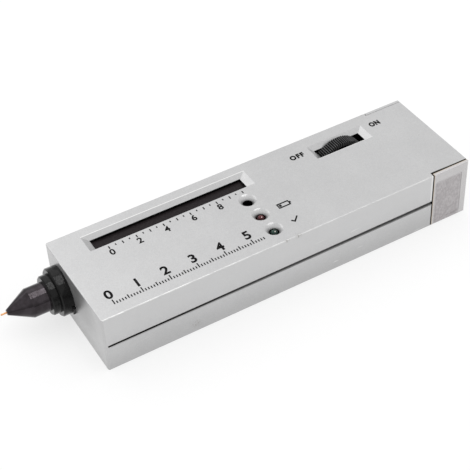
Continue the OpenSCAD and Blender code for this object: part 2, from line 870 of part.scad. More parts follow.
module battery_leads() {
    x0 = snap_x - snap_l;
    x1 = board_x1 - lead_board_in;
    z = battery_z + battery_h / 2;
    color("crimson") placed() for (s = [-1, 1]) {
        y = battery_y + s * lead_pitch / 2;
        end_y = y + lead_side;
        wire([
            [x0, y, z], [x0 - lead_straight, y, z],
            [x1, end_y, board_top + lead_rise], [x1, end_y, board_top]
        ], lead_r);
    }
}

// Black collar: flange against the nose wall, front ring and a neck through the wall
module probe_collar() {
    bore_r = spigot_r + fit / 2;
    color([0.06, 0.06, 0.06]) placed() {
        on_probe([
            [bore_r, ring_x], [ring_r - collar_edge, ring_x], [ring_r, ring_x + collar_edge],
            [ring_r, -flange_l], [flange_r - collar_edge, -flange_l], [flange_r, -flange_l + collar_edge],
            [flange_r, 0], [neck_r, 0], [neck_r, neck_l], [bore_r, neck_l]
        ]);
        translate([0, probe_y, probe_z]) rotate([lug_angle, 0, 0])
            block([-lug_l, flange_r - 1, -lug_w / 2], [0, flange_r + lug_out, lug_w / 2]);
    }
}

module collar_nut() {
    color([0.2, 0.2, 0.2]) placed() translate([nose_t, probe_y, probe_z]) rotate([0, 90, 0]) difference() {
        cylinder(h = nut_l, r = nut_r, $fn = 6);
        translate([0, 0, -1]) cylinder(h = nut_l + 2, r = neck_r + fit / 2);
    }
}

// Metal cone and barrel with a stepped bore; its spigot sits in the collar
module probe_cone() {
    pin_bore_r = pin_r + run;
    color([0.22, 0.2, 0.2]) placed() on_probe([
        [pin_bore_r, cone_x], [cone_end_r, cone_x], [barrel_r, shoulder_x], [barrel_r, ring_x],
        [spigot_r, ring_x], [spigot_r, spigot_x], [collet_r, spigot_x], [collet_r, collet_x],
        [chamber_r, collet_x], [chamber_r, stop_x], [pin_bore_r, stop_x]
    ]);
}

// Insulating sleeve that guides the pin's stem and backs the spring
module probe_holder() {
    r = collet_r - fit / 2;
    color("ivory") placed() on_probe([
        [stem_r + run, collet_x], [r, collet_x], [r, holder_x], [0, holder_x],
        [0, sensor_room_x], [sensor_room_r, sensor_room_x],
        [sensor_room_r, collet_x + guide_l], [stem_r + run, collet_x + guide_l]
    ]);
}

// Copper pin with the shoulder that stops it and the stem behind
module probe_tip() {
    rest_x = stop_x + fit / 2;
    point_r = pin_r / 2;
    color([0.72, 0.45, 0.2]) placed() on_probe([
        [0, pin_x], [point_r, pin_x], [pin_r, pin_x + point_r], [pin_r, rest_x],
        [chamber_r - run, rest_x], [chamber_r - run, rest_x + shoulder_l],
        [stem_r, rest_x + shoulder_l], [stem_r, stem_x], [0, stem_x]
    ]);
}

module probe_sensor() {
    color("white") placed() on_probe([
        [0, stem_x], [sensor_r, stem_x], [sensor_r, stem_x + sensor_l], [0, stem_x + sensor_l]
    ]);
}

// Middle of the spring's wire at step i
function spring_middle(i) =
    let (a = i * 360 / spring_steps)
    [spring_x + wire_r + spring_pitch * i / spring_steps, spring_r * cos(a), spring_r * sin(a)];

// Point j of the wire's section at step i
function spring_point(i, j) =
    let (a = i * 360 / spring_steps)
    let (b = -j * 360 / spring_sides)
    spring_middle(i) + wire_r * [sin(b), cos(b) * cos(a), cos(b) * sin(a)];

// Least clear gap between neighbouring turns
spring_gap = min([
    for (i = [0 : spring_rings - spring_steps], d = [-1 : 1])
        norm(spring_middle(min(spring_rings, i + spring_steps + d)) - spring_middle(i))
]) - 2 * wire_r;
echo(spring_gap = spring_gap);

module probe_spring() {
    color("lightsteelblue") placed() translate([0, probe_y, probe_z]) tube([
        for (i = [0 : spring_rings], j = [0 : spring_sides - 1]) spring_point(i, j)
    ], spring_sides);
}

module probe_leads() {
    color("gold") placed() for (s = [-1, 1]) {
        y = probe_y + s * fine_lead_pitch / 2;
        end_y = probe_y - fine_lead_side + s * fine_lead_step;
        end_x = board_x0 + lead_board_in + (1 - s) * fine_lead_step;
        wire([
            [holder_x, y, probe_z], [holder_x + fine_lead_straight, y, probe_z],
            [end_x, end_y, board_top + fine_lead_rise], [end_x, end_y, board_top]
        ], fine_lead_r);
    }
}

top_shell();
bottom_shell();
battery_cap();
case_screws();
display_window();
light_bars();
light_carrier();
low_battery_lamp();
ready_lamp();
buzzer();
circuit_board();
board_screws();
board_chips();
trimmers();
capacitors();
resistors();
potentiometer();
potentiometer_shaft();
thumbwheel();
thumbwheel_screw();
battery();
battery_terminals();
battery_snap();
battery_leads();
probe_collar();
collar_nut();
probe_cone();
probe_holder();
probe_tip();
probe_sensor();
probe_spring();
probe_leads();
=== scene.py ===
"""Looks of a hand-held gem tester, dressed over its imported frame: metres, +Z up, nose towards -X."""

import math

import bpy
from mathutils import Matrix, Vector


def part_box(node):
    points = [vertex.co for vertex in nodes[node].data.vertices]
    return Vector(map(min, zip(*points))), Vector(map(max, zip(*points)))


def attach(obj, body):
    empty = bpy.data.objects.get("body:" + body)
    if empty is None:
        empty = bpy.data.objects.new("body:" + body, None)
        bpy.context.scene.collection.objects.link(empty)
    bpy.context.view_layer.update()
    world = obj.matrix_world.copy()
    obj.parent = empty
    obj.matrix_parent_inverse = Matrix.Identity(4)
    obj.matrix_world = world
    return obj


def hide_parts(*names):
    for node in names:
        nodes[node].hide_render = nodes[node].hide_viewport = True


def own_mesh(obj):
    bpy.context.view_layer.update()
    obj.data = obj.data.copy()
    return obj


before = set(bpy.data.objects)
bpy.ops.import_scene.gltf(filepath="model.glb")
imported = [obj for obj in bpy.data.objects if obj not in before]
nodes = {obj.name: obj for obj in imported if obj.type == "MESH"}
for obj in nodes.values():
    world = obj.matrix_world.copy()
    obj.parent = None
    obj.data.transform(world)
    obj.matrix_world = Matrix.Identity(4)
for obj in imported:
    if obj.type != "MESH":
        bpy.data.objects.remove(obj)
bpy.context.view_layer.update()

MM = 0.001

# Places that the frame gives
shell_low, shell_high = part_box("top_shell")
NOSE_X = shell_low.x
REAR_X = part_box("battery_cap")[1].x
ROOF_Z = shell_high.z
SEAM_Z = shell_low.z
SIDE_Y = shell_high.y
SHELL_END_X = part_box("bottom_shell")[1].x


def middle(node):
    """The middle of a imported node's box."""
    low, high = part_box(node)
    return (low + high) / 2


window_mid = middle("display_window")
wheel_mid = middle("thumbwheel")
red_mid = middle("low_battery_lamp")
green_mid = middle("ready_lamp")
port_mid = middle("buzzer")
probe_mid = middle("probe_cone")

# Sizes of the case's own features, as the frame has them
CAP_GAP = 0.4 * MM
CAP_FRONT_X = SHELL_END_X + CAP_GAP
CHEEK = 1.2 * MM
CHEEK_Y = SIDE_Y - CHEEK
TONGUE_FRONT_Y = -CHEEK_Y + 0.5 * MM
CAP_WALL = 1.8 * MM
CAP_WALL_Z = 20.0 * MM
GRIP_DEPTH = 0.15 * MM
GRIP_FRONT = 1.4 * MM
GRIP_REAR = 2.8 * MM
GRIP_LOW = 1.6 * MM
GRIP_TOP = 3.5 * MM
SEAM_HEIGHT = 1.25 * MM
SEAM_TOP_Z = SEAM_Z + SEAM_HEIGHT
EDGE_ROUND = 0.3 * MM
NOSE_CORNER = 1.0 * MM
BEVEL_DEPTH = 1.5 * MM
WINDOW_HALF = 3.9 * MM
WINDOW_END = 30.9 * MM
SLOT_HALF = 3.7 * MM
SLOT_END = 11.3 * MM
WINDOW_FACE_Z = 20.0 * MM
HOLE_RADIUS = 1.7 * MM
HOLE_RIM_RADIUS = 3.1 * MM
LAMP_RADIUS = 1.5 * MM
WHEEL_RADIUS = 10.0 * MM
RIDGE_HEIGHT = 0.4 * MM

# What to keep of a place, for its distance from a line along one axis
ALONG_X = (0, 1, 1)
ALONG_Y = (1, 0, 1)
ALONG_Z = (1, 1, 0)

# Spans of a noise's values: nearly all of them, and the middle ones that give harder patches
WIDE_SPAN = (0.3, 0.7)
NARROW_SPAN = (0.35, 0.65)

# Sockets of a colour mix, by their number
MIX_SHARE = 0
MIX_FIRST = 6
MIX_SECOND = 7
MIX_RESULT = 2

FIXED_SOCKETS = {
    "metallic": "Metallic",
    "specular": "Specular IOR Level",
    "coat": "Coat Weight",
    "coat_roughness": "Coat Roughness",
}


class Finish:
    """One material, with its patterns fixed to the piece that wears it."""

    def __init__(self, name, color, roughness, **fixed):
        self.material = bpy.data.materials.new(name)
        self.material.use_nodes = True
        self.tree = self.material.node_tree
        self.shader = self.tree.nodes["Principled BSDF"]
        self.place = self.add("ShaderNodeTexCoord").outputs["Object"]
        self.wear("Base Color", (*color, 1.0))
        self.wear("Roughness", roughness)
        for socket, value in fixed.items():
            self.wear(FIXED_SOCKETS[socket], value)

    def add(self, kind, inputs=None, **settings):
        """A new node, with its inputs fed and its settings made."""
        node = self.tree.nodes.new(kind)
        for setting, value in settings.items():
            setattr(node, setting, value)
        for socket, value in (inputs or {}).items():
            self.feed(node.inputs[socket], value)
        return node

    def feed(self, socket, value):
        """Links a socket to another one, or sets it to a value."""
        if isinstance(value, bpy.types.NodeSocket):
            self.tree.links.new(value, socket)
        else:
            socket.default_value = value

    def wear(self, socket, value):
        """Sets or links one socket of the shader."""
        self.feed(self.shader.inputs[socket], value)

    def worn(self, socket):
        """What one socket of the shader is linked to."""
        return self.shader.inputs[socket].links[0].from_socket

    def spot(self, point=(0, 0, 0), stretch=(1, 1, 1)):
        """Object coordinates measured from a point, and scaled along each axis."""
        shift = [-p * s for p, s in zip(point, stretch)]
        inputs = {"Vector": self.place, "Location": shift, "Scale": stretch}
        return self.add("ShaderNodeMapping", inputs).outputs[0]

    def axis(self, letter):
        """The place along one axis."""
        return self.add("ShaderNodeSeparateXYZ", {"Vector": self.place}).outputs[letter]

    def off_middle(self):
        """Distance from the upright plane through the middle of the case."""
        return self.join("ABSOLUTE", self.axis("Y"), 0.0)

    def side_depth(self):
        """Distance inwards from the case's side walls."""
        return self.join("SUBTRACT", SIDE_Y, self.off_middle())

    def distance(self, point, keep=(1, 1, 1)):
        """Distance from a point, or from the line along the axis that keep leaves out."""
        spot = self.spot(point, keep)
        return self.add("ShaderNodeVectorMath", {0: spot}, operation="LENGTH").outputs["Value"]

    def noise(self, size, detail=2.0, stretch=(1, 1, 1), point=(0, 0, 0)):
        """Soft random patches of about the given size."""
        inputs = {"Vector": self.spot(point, stretch), "Scale": 1 / size, "Detail": detail}
        return self.add("ShaderNodeTexNoise", inputs).outputs[0]

    def flakes(self, size):
        """A random tone for each small grain of the given size."""
        inputs = {"Vector": self.place, "Scale": 1 / size}
        return self.add("ShaderNodeTexVoronoi", inputs).outputs["Color"]

    def ramp(self, value, low, high, at_low=0.0, at_high=1.0, shape="SMOOTHSTEP"):
        """A smooth or straight step between two values, held outside them."""
        if low > high:
            low, high, at_low, at_high = high, low, at_high, at_low
        inputs = {"Value": value, "From Min": low, "From Max": high, "To Min": at_low, "To Max": at_high}
        return self.add("ShaderNodeMapRange", inputs, interpolation_type=shape).outputs[0]

    def step(self, value, edge, start, end):
        """A smooth step from 0 to 1 near an edge, where start and end are millimetres past it."""
        return self.ramp(value, edge + start * MM, edge + end * MM)

    def band(self, value, low, high, soft):
        """1 between two values and 0 outside, over a soft margin."""
        rise = self.ramp(value, low - soft, low + soft)
        fall = self.ramp(value, high + soft, high - soft)
        return self.both(rise, fall)

    def uneven(self, size, low, high, detail=2.0):
        """A value that wanders between two, in soft patches of about the given size."""
        return self.ramp(self.noise(size, detail), *WIDE_SPAN, low, high)

    def join(self, operation, first, *others):
        """Puts values together by a maths operation, from left to right."""
        for other in others:
            first = self.add("ShaderNodeMath", {0: first, 1: other}, operation=operation).outputs[0]
        return first

    def both(self, *masks):
        """Where all masks hold, or a mask at a share of its strength."""
        return self.join("MULTIPLY", *masks)

    def either(self, *masks):
        """Where any mask holds."""
        return self.join("MAXIMUM", *masks)

    def mix(self, share, first, second):
        """A colour between two, by a share from 0 to 1."""
        node = self.add("ShaderNodeMix", data_type="RGBA")
        self.feed(node.inputs[MIX_SHARE], share)
        for socket, color in ((MIX_FIRST, first), (MIX_SECOND, second)):
            linked = isinstance(color, bpy.types.NodeSocket)
            self.feed(node.inputs[socket], color if linked else (*color, 1.0))
        return node.outputs[MIX_RESULT]

    def blotches(self, tone, dark, light):
        """A colour that wanders between two as a noise does."""
        return self.mix(self.ramp(tone, *NARROW_SPAN), dark, light)

    def relief(self, height, depth):
        """A fine bump of the given depth, laid over those made before it."""
        inputs = {"Height": height, "Distance": depth, "Strength": 1.0}
        if self.shader.inputs["Normal"].is_linked:
            inputs["Normal"] = self.worn("Normal")
        self.wear("Normal", self.add("ShaderNodeBump", inputs).outputs[0])


# Paint of the shells and the cap

PAINT = {"roughness": 0.4, "specular": 0.4}
PAINT_ROUGHNESS = (0.29, 0.36)
GLOSS_PATCH = 3.0 * MM
FLAKE = 0.16 * MM
FLAKE_SHARE = 0.45
CLOUD = 14.0 * MM
CLOUD_SHARE = 0.35
BLOTCH = 1.2 * MM
BLOTCH_SHARE = 0.20
SPARK = 0.35 * MM
SPARK_DEPTH = 0.004 * MM


def silver_base(finish, dark, light):
    """Flaked silver paint over a finely sparked moulding. Gives the paint's colour."""
    tone = finish.join(
        "ADD",
        finish.both(finish.flakes(FLAKE), FLAKE_SHARE),
        finish.both(finish.noise(CLOUD, detail=4.0), CLOUD_SHARE),
        finish.both(finish.noise(BLOTCH, detail=3.0), BLOTCH_SHARE),
    )
    finish.relief(finish.noise(SPARK, detail=3.0), SPARK_DEPTH)
    finish.wear("Roughness", finish.uneven(GLOSS_PATCH, *PAINT_ROUGHNESS, detail=4.0))
    return finish.mix(finish.ramp(tone, *WIDE_SPAN), dark, light)


# Wear of the shells, and highlights painted on their edges

PALE_WEAR_AND_HIGHLIGHT = (0.86, 0.86, 0.85)
RUB_PATCH = 5.0 * MM
RUB_SPAN = (0.40, 0.60)
RUB_SHARES = (0.3, 0.8)
EDGE_HIGHLIGHT_FULL_X = NOSE_X + 5.0 * MM
EDGE_HIGHLIGHT_HALF_X = 10.0 * MM
RIM_END_SOFT = 0.1 * MM

# Rims of the window and the wheel's slot, painted with a thin highlight line: middle, place across and half
# length
RECESS_RIMS = (
    (window_mid, window_mid.y + WINDOW_HALF, WINDOW_END),
    (wheel_mid, wheel_mid.y - SLOT_HALF, SLOT_END),
)


def edge_wear_and_highlights(finish):
    """Where the paint is pale: worn patches on the roof's front edge under a painted highlight that fades
    away from the nose, and painted highlight lines on the recesses' rims.
    """
    front_edge = finish.distance((0, -SIDE_Y, ROOF_Z), ALONG_X)
    rounded = finish.ramp(front_edge, 1.3 * EDGE_ROUND, 0.8 * EDGE_ROUND)
    patches = finish.ramp(finish.noise(RUB_PATCH, detail=4.0), *RUB_SPAN, *RUB_SHARES)
    # Painted highlight: full near the nose, falling to half strength further back
    toward_nose = finish.ramp(finish.axis("X"), EDGE_HIGHLIGHT_FULL_X, EDGE_HIGHLIGHT_HALF_X, 1.0, 0.5)
    masks = [finish.both(rounded, patches, toward_nose)]
    for center, rim_y, end in RECESS_RIMS:
        rim = finish.distance((0, rim_y, ROOF_Z), ALONG_X)
        length = finish.band(finish.axis("X"), center.x - end, center.x + end, RIM_END_SOFT)
        masks.append(finish.both(finish.step(rim, 0.0, 0.2, 0.08), length))
    return finish.either(*masks)


WORN_END_SHARE = 0.7


def worn_end(finish):
    """A pale strip on the top shell's sides, along the end that the cap meets."""
    strip = finish.band(finish.axis("X"), SHELL_END_X - 0.7 * MM, SHELL_END_X - 0.15 * MM, 0.1 * MM)
    upper = finish.step(finish.axis("Z"), SEAM_TOP_Z, 0.4, 0.9)
    side = finish.step(finish.off_middle(), SIDE_Y, -0.3, -0.2)
    return finish.both(strip, upper, side, WORN_END_SHARE)


SCRATCH = 0.35 * MM
SCRATCH_STRETCH = (0.05, 1.0, 0.6)
SCRATCH_SPAN = (0.70, 0.76)
SCRATCH_REGION = 22.0 * MM
SCRATCH_REGION_SPAN = (0.52, 0.66)
SCRATCH_SHARE = 0.5


def scratches(finish):
    """Fine scratches along the case, gathered in a few regions."""
    lines = finish.noise(SCRATCH, stretch=SCRATCH_STRETCH)
    regions = finish.ramp(finish.noise(SCRATCH_REGION), *SCRATCH_REGION_SPAN)
    return finish.both(finish.ramp(lines, *SCRATCH_SPAN), regions, SCRATCH_SHARE)


SCUFF = (0.40, 0.39, 0.38)
SCUFF_GRAIN = 0.5 * MM
SCUFF_SPAN = (0.48, 0.6)

# Small marks of use: a place on the case and how far each reaches
SCUFF_PLACES = (
    (Vector((8.0 * MM, -SIDE_Y, ROOF_Z)), 1.4 * MM),
    (Vector((12.4 * MM, -SIDE_Y, ROOF_Z)), 1.7 * MM),
    (Vector((64.8 * MM, SIDE_Y, ROOF_Z)), 0.9 * MM),
    (Vector((NOSE_X, -SIDE_Y, 20.9 * MM)), 0.6 * MM),
    (Vector((-27.0 * MM, -SIDE_Y, 3.4 * MM)), 2.2 * MM),
)


def scuffed(finish, color):
    """The paint's colour with the small marks of use on it."""
    for place, reach in SCUFF_PLACES:
        near = finish.ramp(finish.distance(place), reach, 0.3 * reach)
        rough = finish.ramp(finish.noise(SCUFF_GRAIN, detail=5.0, point=place), *SCUFF_SPAN)
        color = finish.mix(finish.both(near, rough), color, SCUFF)
    return color


FLARE_RISE = 0.68
FLARE_FALL = 0.75
FLARE_DEPTH = 1.0 * MM


def flared_holes(finish):
    """Rounds the countersinks, steep at the holes and shallow at their rims. Gives where shade is painted
    in them, darkest at the holes.
    """
    heights = []
    hole_shade = []
    near_roof = finish.step(finish.axis("Z"), ROOF_Z, -3.0, -2.0)
    for hole in (port_mid, red_mid, green_mid):
        out = finish.ramp(finish.distance(hole, ALONG_Z), HOLE_RADIUS, HOLE_RIM_RADIUS, shape="LINEAR")
        heights.append(finish.both(out, finish.join("SUBTRACT", FLARE_RISE, finish.both(out, FLARE_FALL))))
        hole_shade.append(finish.ramp(out, 0.55, 0.05))
    flat_roof = len(heights) * (FLARE_RISE - FLARE_FALL)
    flare = finish.join("SUBTRACT", finish.join("ADD", *heights), flat_roof)
    finish.relief(finish.both(flare, near_roof), FLARE_DEPTH)
    return finish.both(finish.either(*hole_shade), near_roof)


# Painted shade: low on the walls, a painted shadow beside the collar, and in the countersinks
LOW_SHADE_SHARE = 0.24
HOLE_SHADE_SHARE = 0.35
NOSE_SHADOW_PLACE = (0, -5.0 * MM, 17.0 * MM)
NOSE_SHADOW_REACH = 13.0 * MM
NOSE_SHADOW_SHARE = 0.55


def painted_shade(finish):
    """Where shade is painted on: darker low on the walls, a painted shadow on the nose beside the collar,
    and painted shade in the countersinks.
    """
    low = finish.ramp(finish.axis("Z"), 8.0 * MM, 0.5 * MM, 0.0, LOW_SHADE_SHARE)
    from_collar = finish.distance(NOSE_SHADOW_PLACE, ALONG_X)
    nose = finish.both(
        finish.ramp(from_collar, NOSE_SHADOW_REACH, 0.2 * NOSE_SHADOW_REACH),
        finish.step(finish.axis("X"), NOSE_X, 0.6, 0.3),
        finish.step(finish.axis("Z"), ROOF_Z, -0.4, -1.4),
        NOSE_SHADOW_SHARE,
    )
    return finish.either(low, nose, finish.both(flared_holes(finish), HOLE_SHADE_SHARE))


# Dark places of the shells, with light and shade painted along the seam and the tongue

BARE_PLASTIC = (0.022, 0.021, 0.020)
SEAM_LIT_GREY = (0.17, 0.17, 0.17)
SEAM_SHADE = (0.10, 0.10, 0.10)
SEAM_LIP = 0.4 * MM
SEAM_LIP_SHARES = (0.35, 0.75)


def shell_inside(finish):
    """Where the shells are bare: inside, at their open end and on the tongue's front side; and where shade
    is painted on the tongue beside that side.
    """
    x = finish.axis("X")
    y = finish.axis("Y")
    z = finish.axis("Z")
    hollow = finish.both(
        finish.step(finish.side_depth(), 0.0, 1.4, 1.6),
        finish.step(x, NOSE_X, 1.6, 1.9),
        finish.step(z, 0.0, 1.2, 1.8),
        finish.step(z, ROOF_Z - BEVEL_DEPTH, -0.02, -0.08),
    )
    below_top = finish.step(z, ROOF_Z, -0.01, -0.05)
    open_end = finish.both(
        finish.band(x, SHELL_END_X - 0.05 * MM, SHELL_END_X + CAP_GAP, 0.03 * MM),
        below_top,
    )
    on_tongue = finish.step(x, SHELL_END_X, 0.0, 0.1)
    tongue_side = finish.both(on_tongue, finish.step(y, TONGUE_FRONT_Y, 0.08, 0.02), below_top)
    # Painted shade on the tongue along its front side, fading over 11 mm from the shells' end
    tongue_shade = finish.both(
        on_tongue,
        finish.step(x, SHELL_END_X, 11.0, 1.0),
        finish.step(y, TONGUE_FRONT_Y, 0.35, 0.15),
    )
    return finish.either(hollow, open_end, tongue_side, tongue_shade)


def seam_groove(finish):
    """Where the two shells meet round the sides, past the rounded nose corner."""
    return finish.both(
        finish.step(finish.side_depth(), 0.0, 0.02, 0.08),
        finish.band(finish.axis("Z"), SEAM_Z - 0.1 * MM, SEAM_TOP_Z + 0.2 * MM, 0.05 * MM),
        finish.ramp(finish.axis("X"), NOSE_X + 0.96 * NOSE_CORNER, NOSE_X + 0.99 * NOSE_CORNER),
    )


def shaded_seam_lip(finish, side, toward_rear):
    """A strip of painted shade under the seam, which darkens towards the rear."""
    return finish.both(
        finish.band(finish.axis("Z"), SEAM_Z - SEAM_LIP, SEAM_Z, 0.05 * MM),
        finish.band(finish.axis("X"), NOSE_X + 2.0 * NOSE_CORNER, SHELL_END_X - 0.2 * MM, 0.2 * MM),
        side,
        finish.ramp(toward_rear, 0.0, 1.0, *SEAM_LIP_SHARES),
    )


SILVER_DARK = (0.520, 0.520, 0.523)
SILVER_LIGHT = (0.592, 0.592, 0.594)
SILVER_MEAN = (0.556, 0.556, 0.559)
# Painted light: a paler silver for the upper side walls, as though they were lit more brightly
LIT_SIDE_SILVER = (0.66, 0.66, 0.663)
LIT_SIDE_SHARE = 0.6
# The grey that painted shade darkens the paint towards
SHADE_GREY = (0.36, 0.36, 0.36)
CASE_METALLIC = 0.7


def case_silver():
    """Painted shells: rubbed edges, a few scuffs and scratches, bare dark plastic inside, and painted light
    and shade: edge highlights, paler upper side walls, shade low down, beside the collar and in the
    countersinks, and light and shade along the seam.
    """
    finish = Finish("case_silver", SILVER_LIGHT, **PAINT)
    color = silver_base(finish, SILVER_DARK, SILVER_LIGHT)
    side = finish.step(finish.off_middle(), SIDE_Y, -0.1, -0.03)
    # Painted light: the side walls are painted paler from 4 mm up
    lit_side = finish.both(side, finish.step(finish.axis("Z"), 0.0, 4.0, 18.0), LIT_SIDE_SHARE)
    color = finish.mix(lit_side, color, LIT_SIDE_SILVER)
    # Painted shade and shadow, darkening the paint towards grey
    color = finish.mix(painted_shade(finish), color, SHADE_GREY)
    # Pale worn patches and painted highlights on the edges, and the pale strip at the shells' end
    color = finish.mix(finish.either(edge_wear_and_highlights(finish), worn_end(finish)), color, PALE_WEAR_AND_HIGHLIGHT)
    color = scuffed(finish, color)
    color = finish.mix(scratches(finish), color, PALE_WEAR_AND_HIGHLIGHT)
    seam = seam_groove(finish)
    inside = shell_inside(finish)
    toward_rear = finish.step(finish.axis("X"), NOSE_X, 10.0, 70.0)
    # Painted shade on the strip under the seam
    color = finish.mix(shaded_seam_lip(finish, side, toward_rear), color, SEAM_SHADE)
    # The seam's groove: bare dark plastic at the nose, painted lighter towards the rear as painted light
    color = finish.mix(seam, color, finish.mix(toward_rear, BARE_PLASTIC, SEAM_LIT_GREY))
    finish.wear("Base Color", finish.mix(inside, color, BARE_PLASTIC))
    finish.wear("Metallic", finish.ramp(finish.either(seam, inside), 0.0, 1.0, CASE_METALLIC, 0.0))
    return finish.material


# Cap

CAP_DARK = (0.560, 0.545, 0.548)
CAP_LIGHT = (0.645, 0.632, 0.634)
CAP_METALLIC = (0.55, 0.1)
PALE_EDGE_HIGHLIGHT = (0.55, 0.47, 0.38)
GRIP_DARK = (0.47, 0.445, 0.452)
GRIP_LIGHT = (0.575, 0.55, 0.557)
GRIP_SPAN = (0.36, 0.64)
GRIP_MOTTLE = 0.7 * MM
GRIP_MOTTLE_STRETCH = (1.0, 1.0, 0.7)
GRIP_MOTTLE_SHARE = 0.75
GRIP_CLOUD = 4.0 * MM
GRIP_CLOUD_SHARE = 0.25
GRIP_GRAIN = 0.3 * MM
GRIP_GRAIN_DEPTH = 0.012 * MM
GRIP_ROUGHNESS = (0.62, 0.46)


def grip_zone(finish):
    """Where the cap's cheeks are pebbled: up from the floor, fading out below the roof and at both ends."""
    x = finish.axis("X")
    return finish.both(
        finish.step(finish.off_middle(), SIDE_Y, -0.5, -0.4),
        finish.step(x, CAP_FRONT_X, 0.4, 1.4),
        finish.step(x, REAR_X - GRIP_REAR, 0.4, -0.7),
        finish.step(finish.axis("Z"), ROOF_Z - GRIP_TOP, 0.3, -1.0),
    )


def pebbled_grip(finish, pebbled, color):
    """Roughens the pebbled zone. Gives the cap's colour with the zone's own mottled one in it."""
    mottle = finish.noise(GRIP_MOTTLE, detail=3.0, stretch=GRIP_MOTTLE_STRETCH)
    tone = finish.join(
        "ADD",
        finish.both(mottle, GRIP_MOTTLE_SHARE),
        finish.both(finish.noise(GRIP_CLOUD), GRIP_CLOUD_SHARE),
    )
    grip = finish.mix(finish.ramp(tone, *GRIP_SPAN), GRIP_DARK, GRIP_LIGHT)
    finish.relief(finish.both(pebbled, finish.noise(GRIP_GRAIN, detail=3.0)), GRIP_GRAIN_DEPTH)
    dull = finish.both(pebbled, finish.ramp(mottle, *WIDE_SPAN, *GRIP_ROUGHNESS))
    finish.wear("Roughness", finish.either(finish.worn("Roughness"), dull))
    return finish.mix(pebbled, color, grip)


def cap_silver():
    """The pull-off cap: warmer than the shells, with a pale tan highlight painted along its front edge and
    its cheeks' inner top edges, pebbled on its cheeks, bare inside.
    """
    finish = Finish("cap_silver", CAP_LIGHT, **PAINT)
    color = silver_base(finish, CAP_DARK, CAP_LIGHT)
    x = finish.axis("X")
    y = finish.axis("Y")
    z = finish.axis("Z")
    pebbled = grip_zone(finish)
    color = pebbled_grip(finish, pebbled, color)

    # A painted highlight: pale tan along the cap's front edge and its cheeks' inner top edges
    front = finish.step(x, CAP_FRONT_X, 0.45, 0.15)
    inner_edge = finish.both(
        finish.step(y, -CHEEK_Y, -0.4, -0.1),
        finish.step(y, 0.0, 1.0, 0.0),
        finish.step(z, ROOF_Z, -0.6, -0.3),
    )
    color = finish.mix(finish.either(front, inner_edge), color, PALE_EDGE_HIGHLIGHT)
    back_top = finish.both(finish.step(y, 0.0, 0.0, 1.0), finish.step(z, ROOF_Z, -1.0, -0.6))
    color = finish.mix(back_top, color, SILVER_MEAN)

    inner = finish.step(finish.off_middle(), CHEEK_Y, 0.06, 0.02)
    hollow = finish.both(
        inner,
        finish.ramp(x, REAR_X - 0.7 * CAP_WALL, REAR_X - 0.8 * CAP_WALL),
        finish.step(z, 0.0, 0.8, 1.2),
    )
    front_face = finish.step(x, CAP_FRONT_X, 0.06, 0.02)
    wall_top = finish.both(inner, finish.step(z, CAP_WALL_Z, -0.06, -0.02))
    painted = finish.ramp(back_top, 0.0, 1.0, 1.0, 0.0)
    bare = finish.both(finish.either(hollow, front_face, wall_top), painted)
    finish.wear("Base Color", finish.mix(bare, color, BARE_PLASTIC))
    finish.wear("Metallic", finish.ramp(finish.either(bare, pebbled), 0.0, 1.0, *CAP_METALLIC))
    return finish.material


# Ink, filter, lamps and wheel

INK_MEAN = (0.005, 0.005, 0.005)
INK_DARK = (0.004, 0.004, 0.004)
INK_WORN = (0.03, 0.03, 0.031)
INK_WEAR = 0.22 * MM
INK_WEAR_SPAN = (0.60, 0.75)
INK_GRAIN = 0.12 * MM
INK_GRAIN_DEPTH = 0.004 * MM


def ink_black():
    """Screen-printed ink, a little worn and uneven."""
    finish = Finish("ink_black", INK_MEAN, roughness=0.6, specular=0.1)
    worn = finish.ramp(finish.noise(INK_WEAR, detail=4.0), *INK_WEAR_SPAN)
    finish.wear("Base Color", finish.mix(worn, INK_DARK, INK_WORN))
    finish.relief(finish.noise(INK_GRAIN), INK_GRAIN_DEPTH)
    return finish.material


FILTER_DARK = (0.014, 0.011, 0.012)
FILTER_LIGHT = (0.021, 0.017, 0.018)
FILTER_RIM = (0.004, 0.004, 0.004)
FILTER_ROUGHNESS = (0.26, 0.4)
FILTER_CLOUD = 0.8 * MM
FILTER_GLOSS_PATCH = 2.5 * MM
FILTER_GRAIN = 0.25 * MM
FILTER_GRAIN_DEPTH = 0.003 * MM


def filter_dark():
    """The display's dark filter: brown-black, faintly clouded, with a black rim round it."""
    finish = Finish("filter_dark", FILTER_LIGHT, roughness=0.3, specular=0.1)
    face = finish.blotches(finish.noise(FILTER_CLOUD, detail=4.0), FILTER_DARK, FILTER_LIGHT)
    rim = finish.step(finish.axis("Z"), WINDOW_FACE_Z, 0.03, 0.08)
    finish.wear("Base Color", finish.mix(rim, face, FILTER_RIM))
    finish.wear("Roughness", finish.uneven(FILTER_GLOSS_PATCH, *FILTER_ROUGHNESS, detail=3.0))
    finish.relief(finish.noise(FILTER_GRAIN), FILTER_GRAIN_DEPTH)
    return finish.material


RED_DEEP = (0.030, 0.002, 0.004)
RED_BRIGHT = (0.32, 0.035, 0.045)
GREEN_DEEP = (0.003, 0.016, 0.012)
GREEN_BRIGHT = (0.055, 0.18, 0.13)
LAMP_GLINT = (0.75, 0.66, 0.64)
LAMP_GLINT_PLACE = Vector((0.1 * MM, -0.45 * MM, 0))
LAMP_HAZE = (0.6, 1.0)
LAMP_HAZE_PATCH = 0.5 * MM
LAMP_RING = (0.36 * LAMP_RADIUS, 0.48 * LAMP_RADIUS)
LAMP_RING_SOFT = 0.08 * LAMP_RADIUS
LAMP_RING_SHARE = 0.5
LAMP_INNER = (0.7 * LAMP_RADIUS, 0.4 * LAMP_RADIUS)
LAMP_INNER_SHARE = 0.2
LAMP_SKIN = 0.4 * MM
LAMP_SKIN_DEPTH = 0.004 * MM


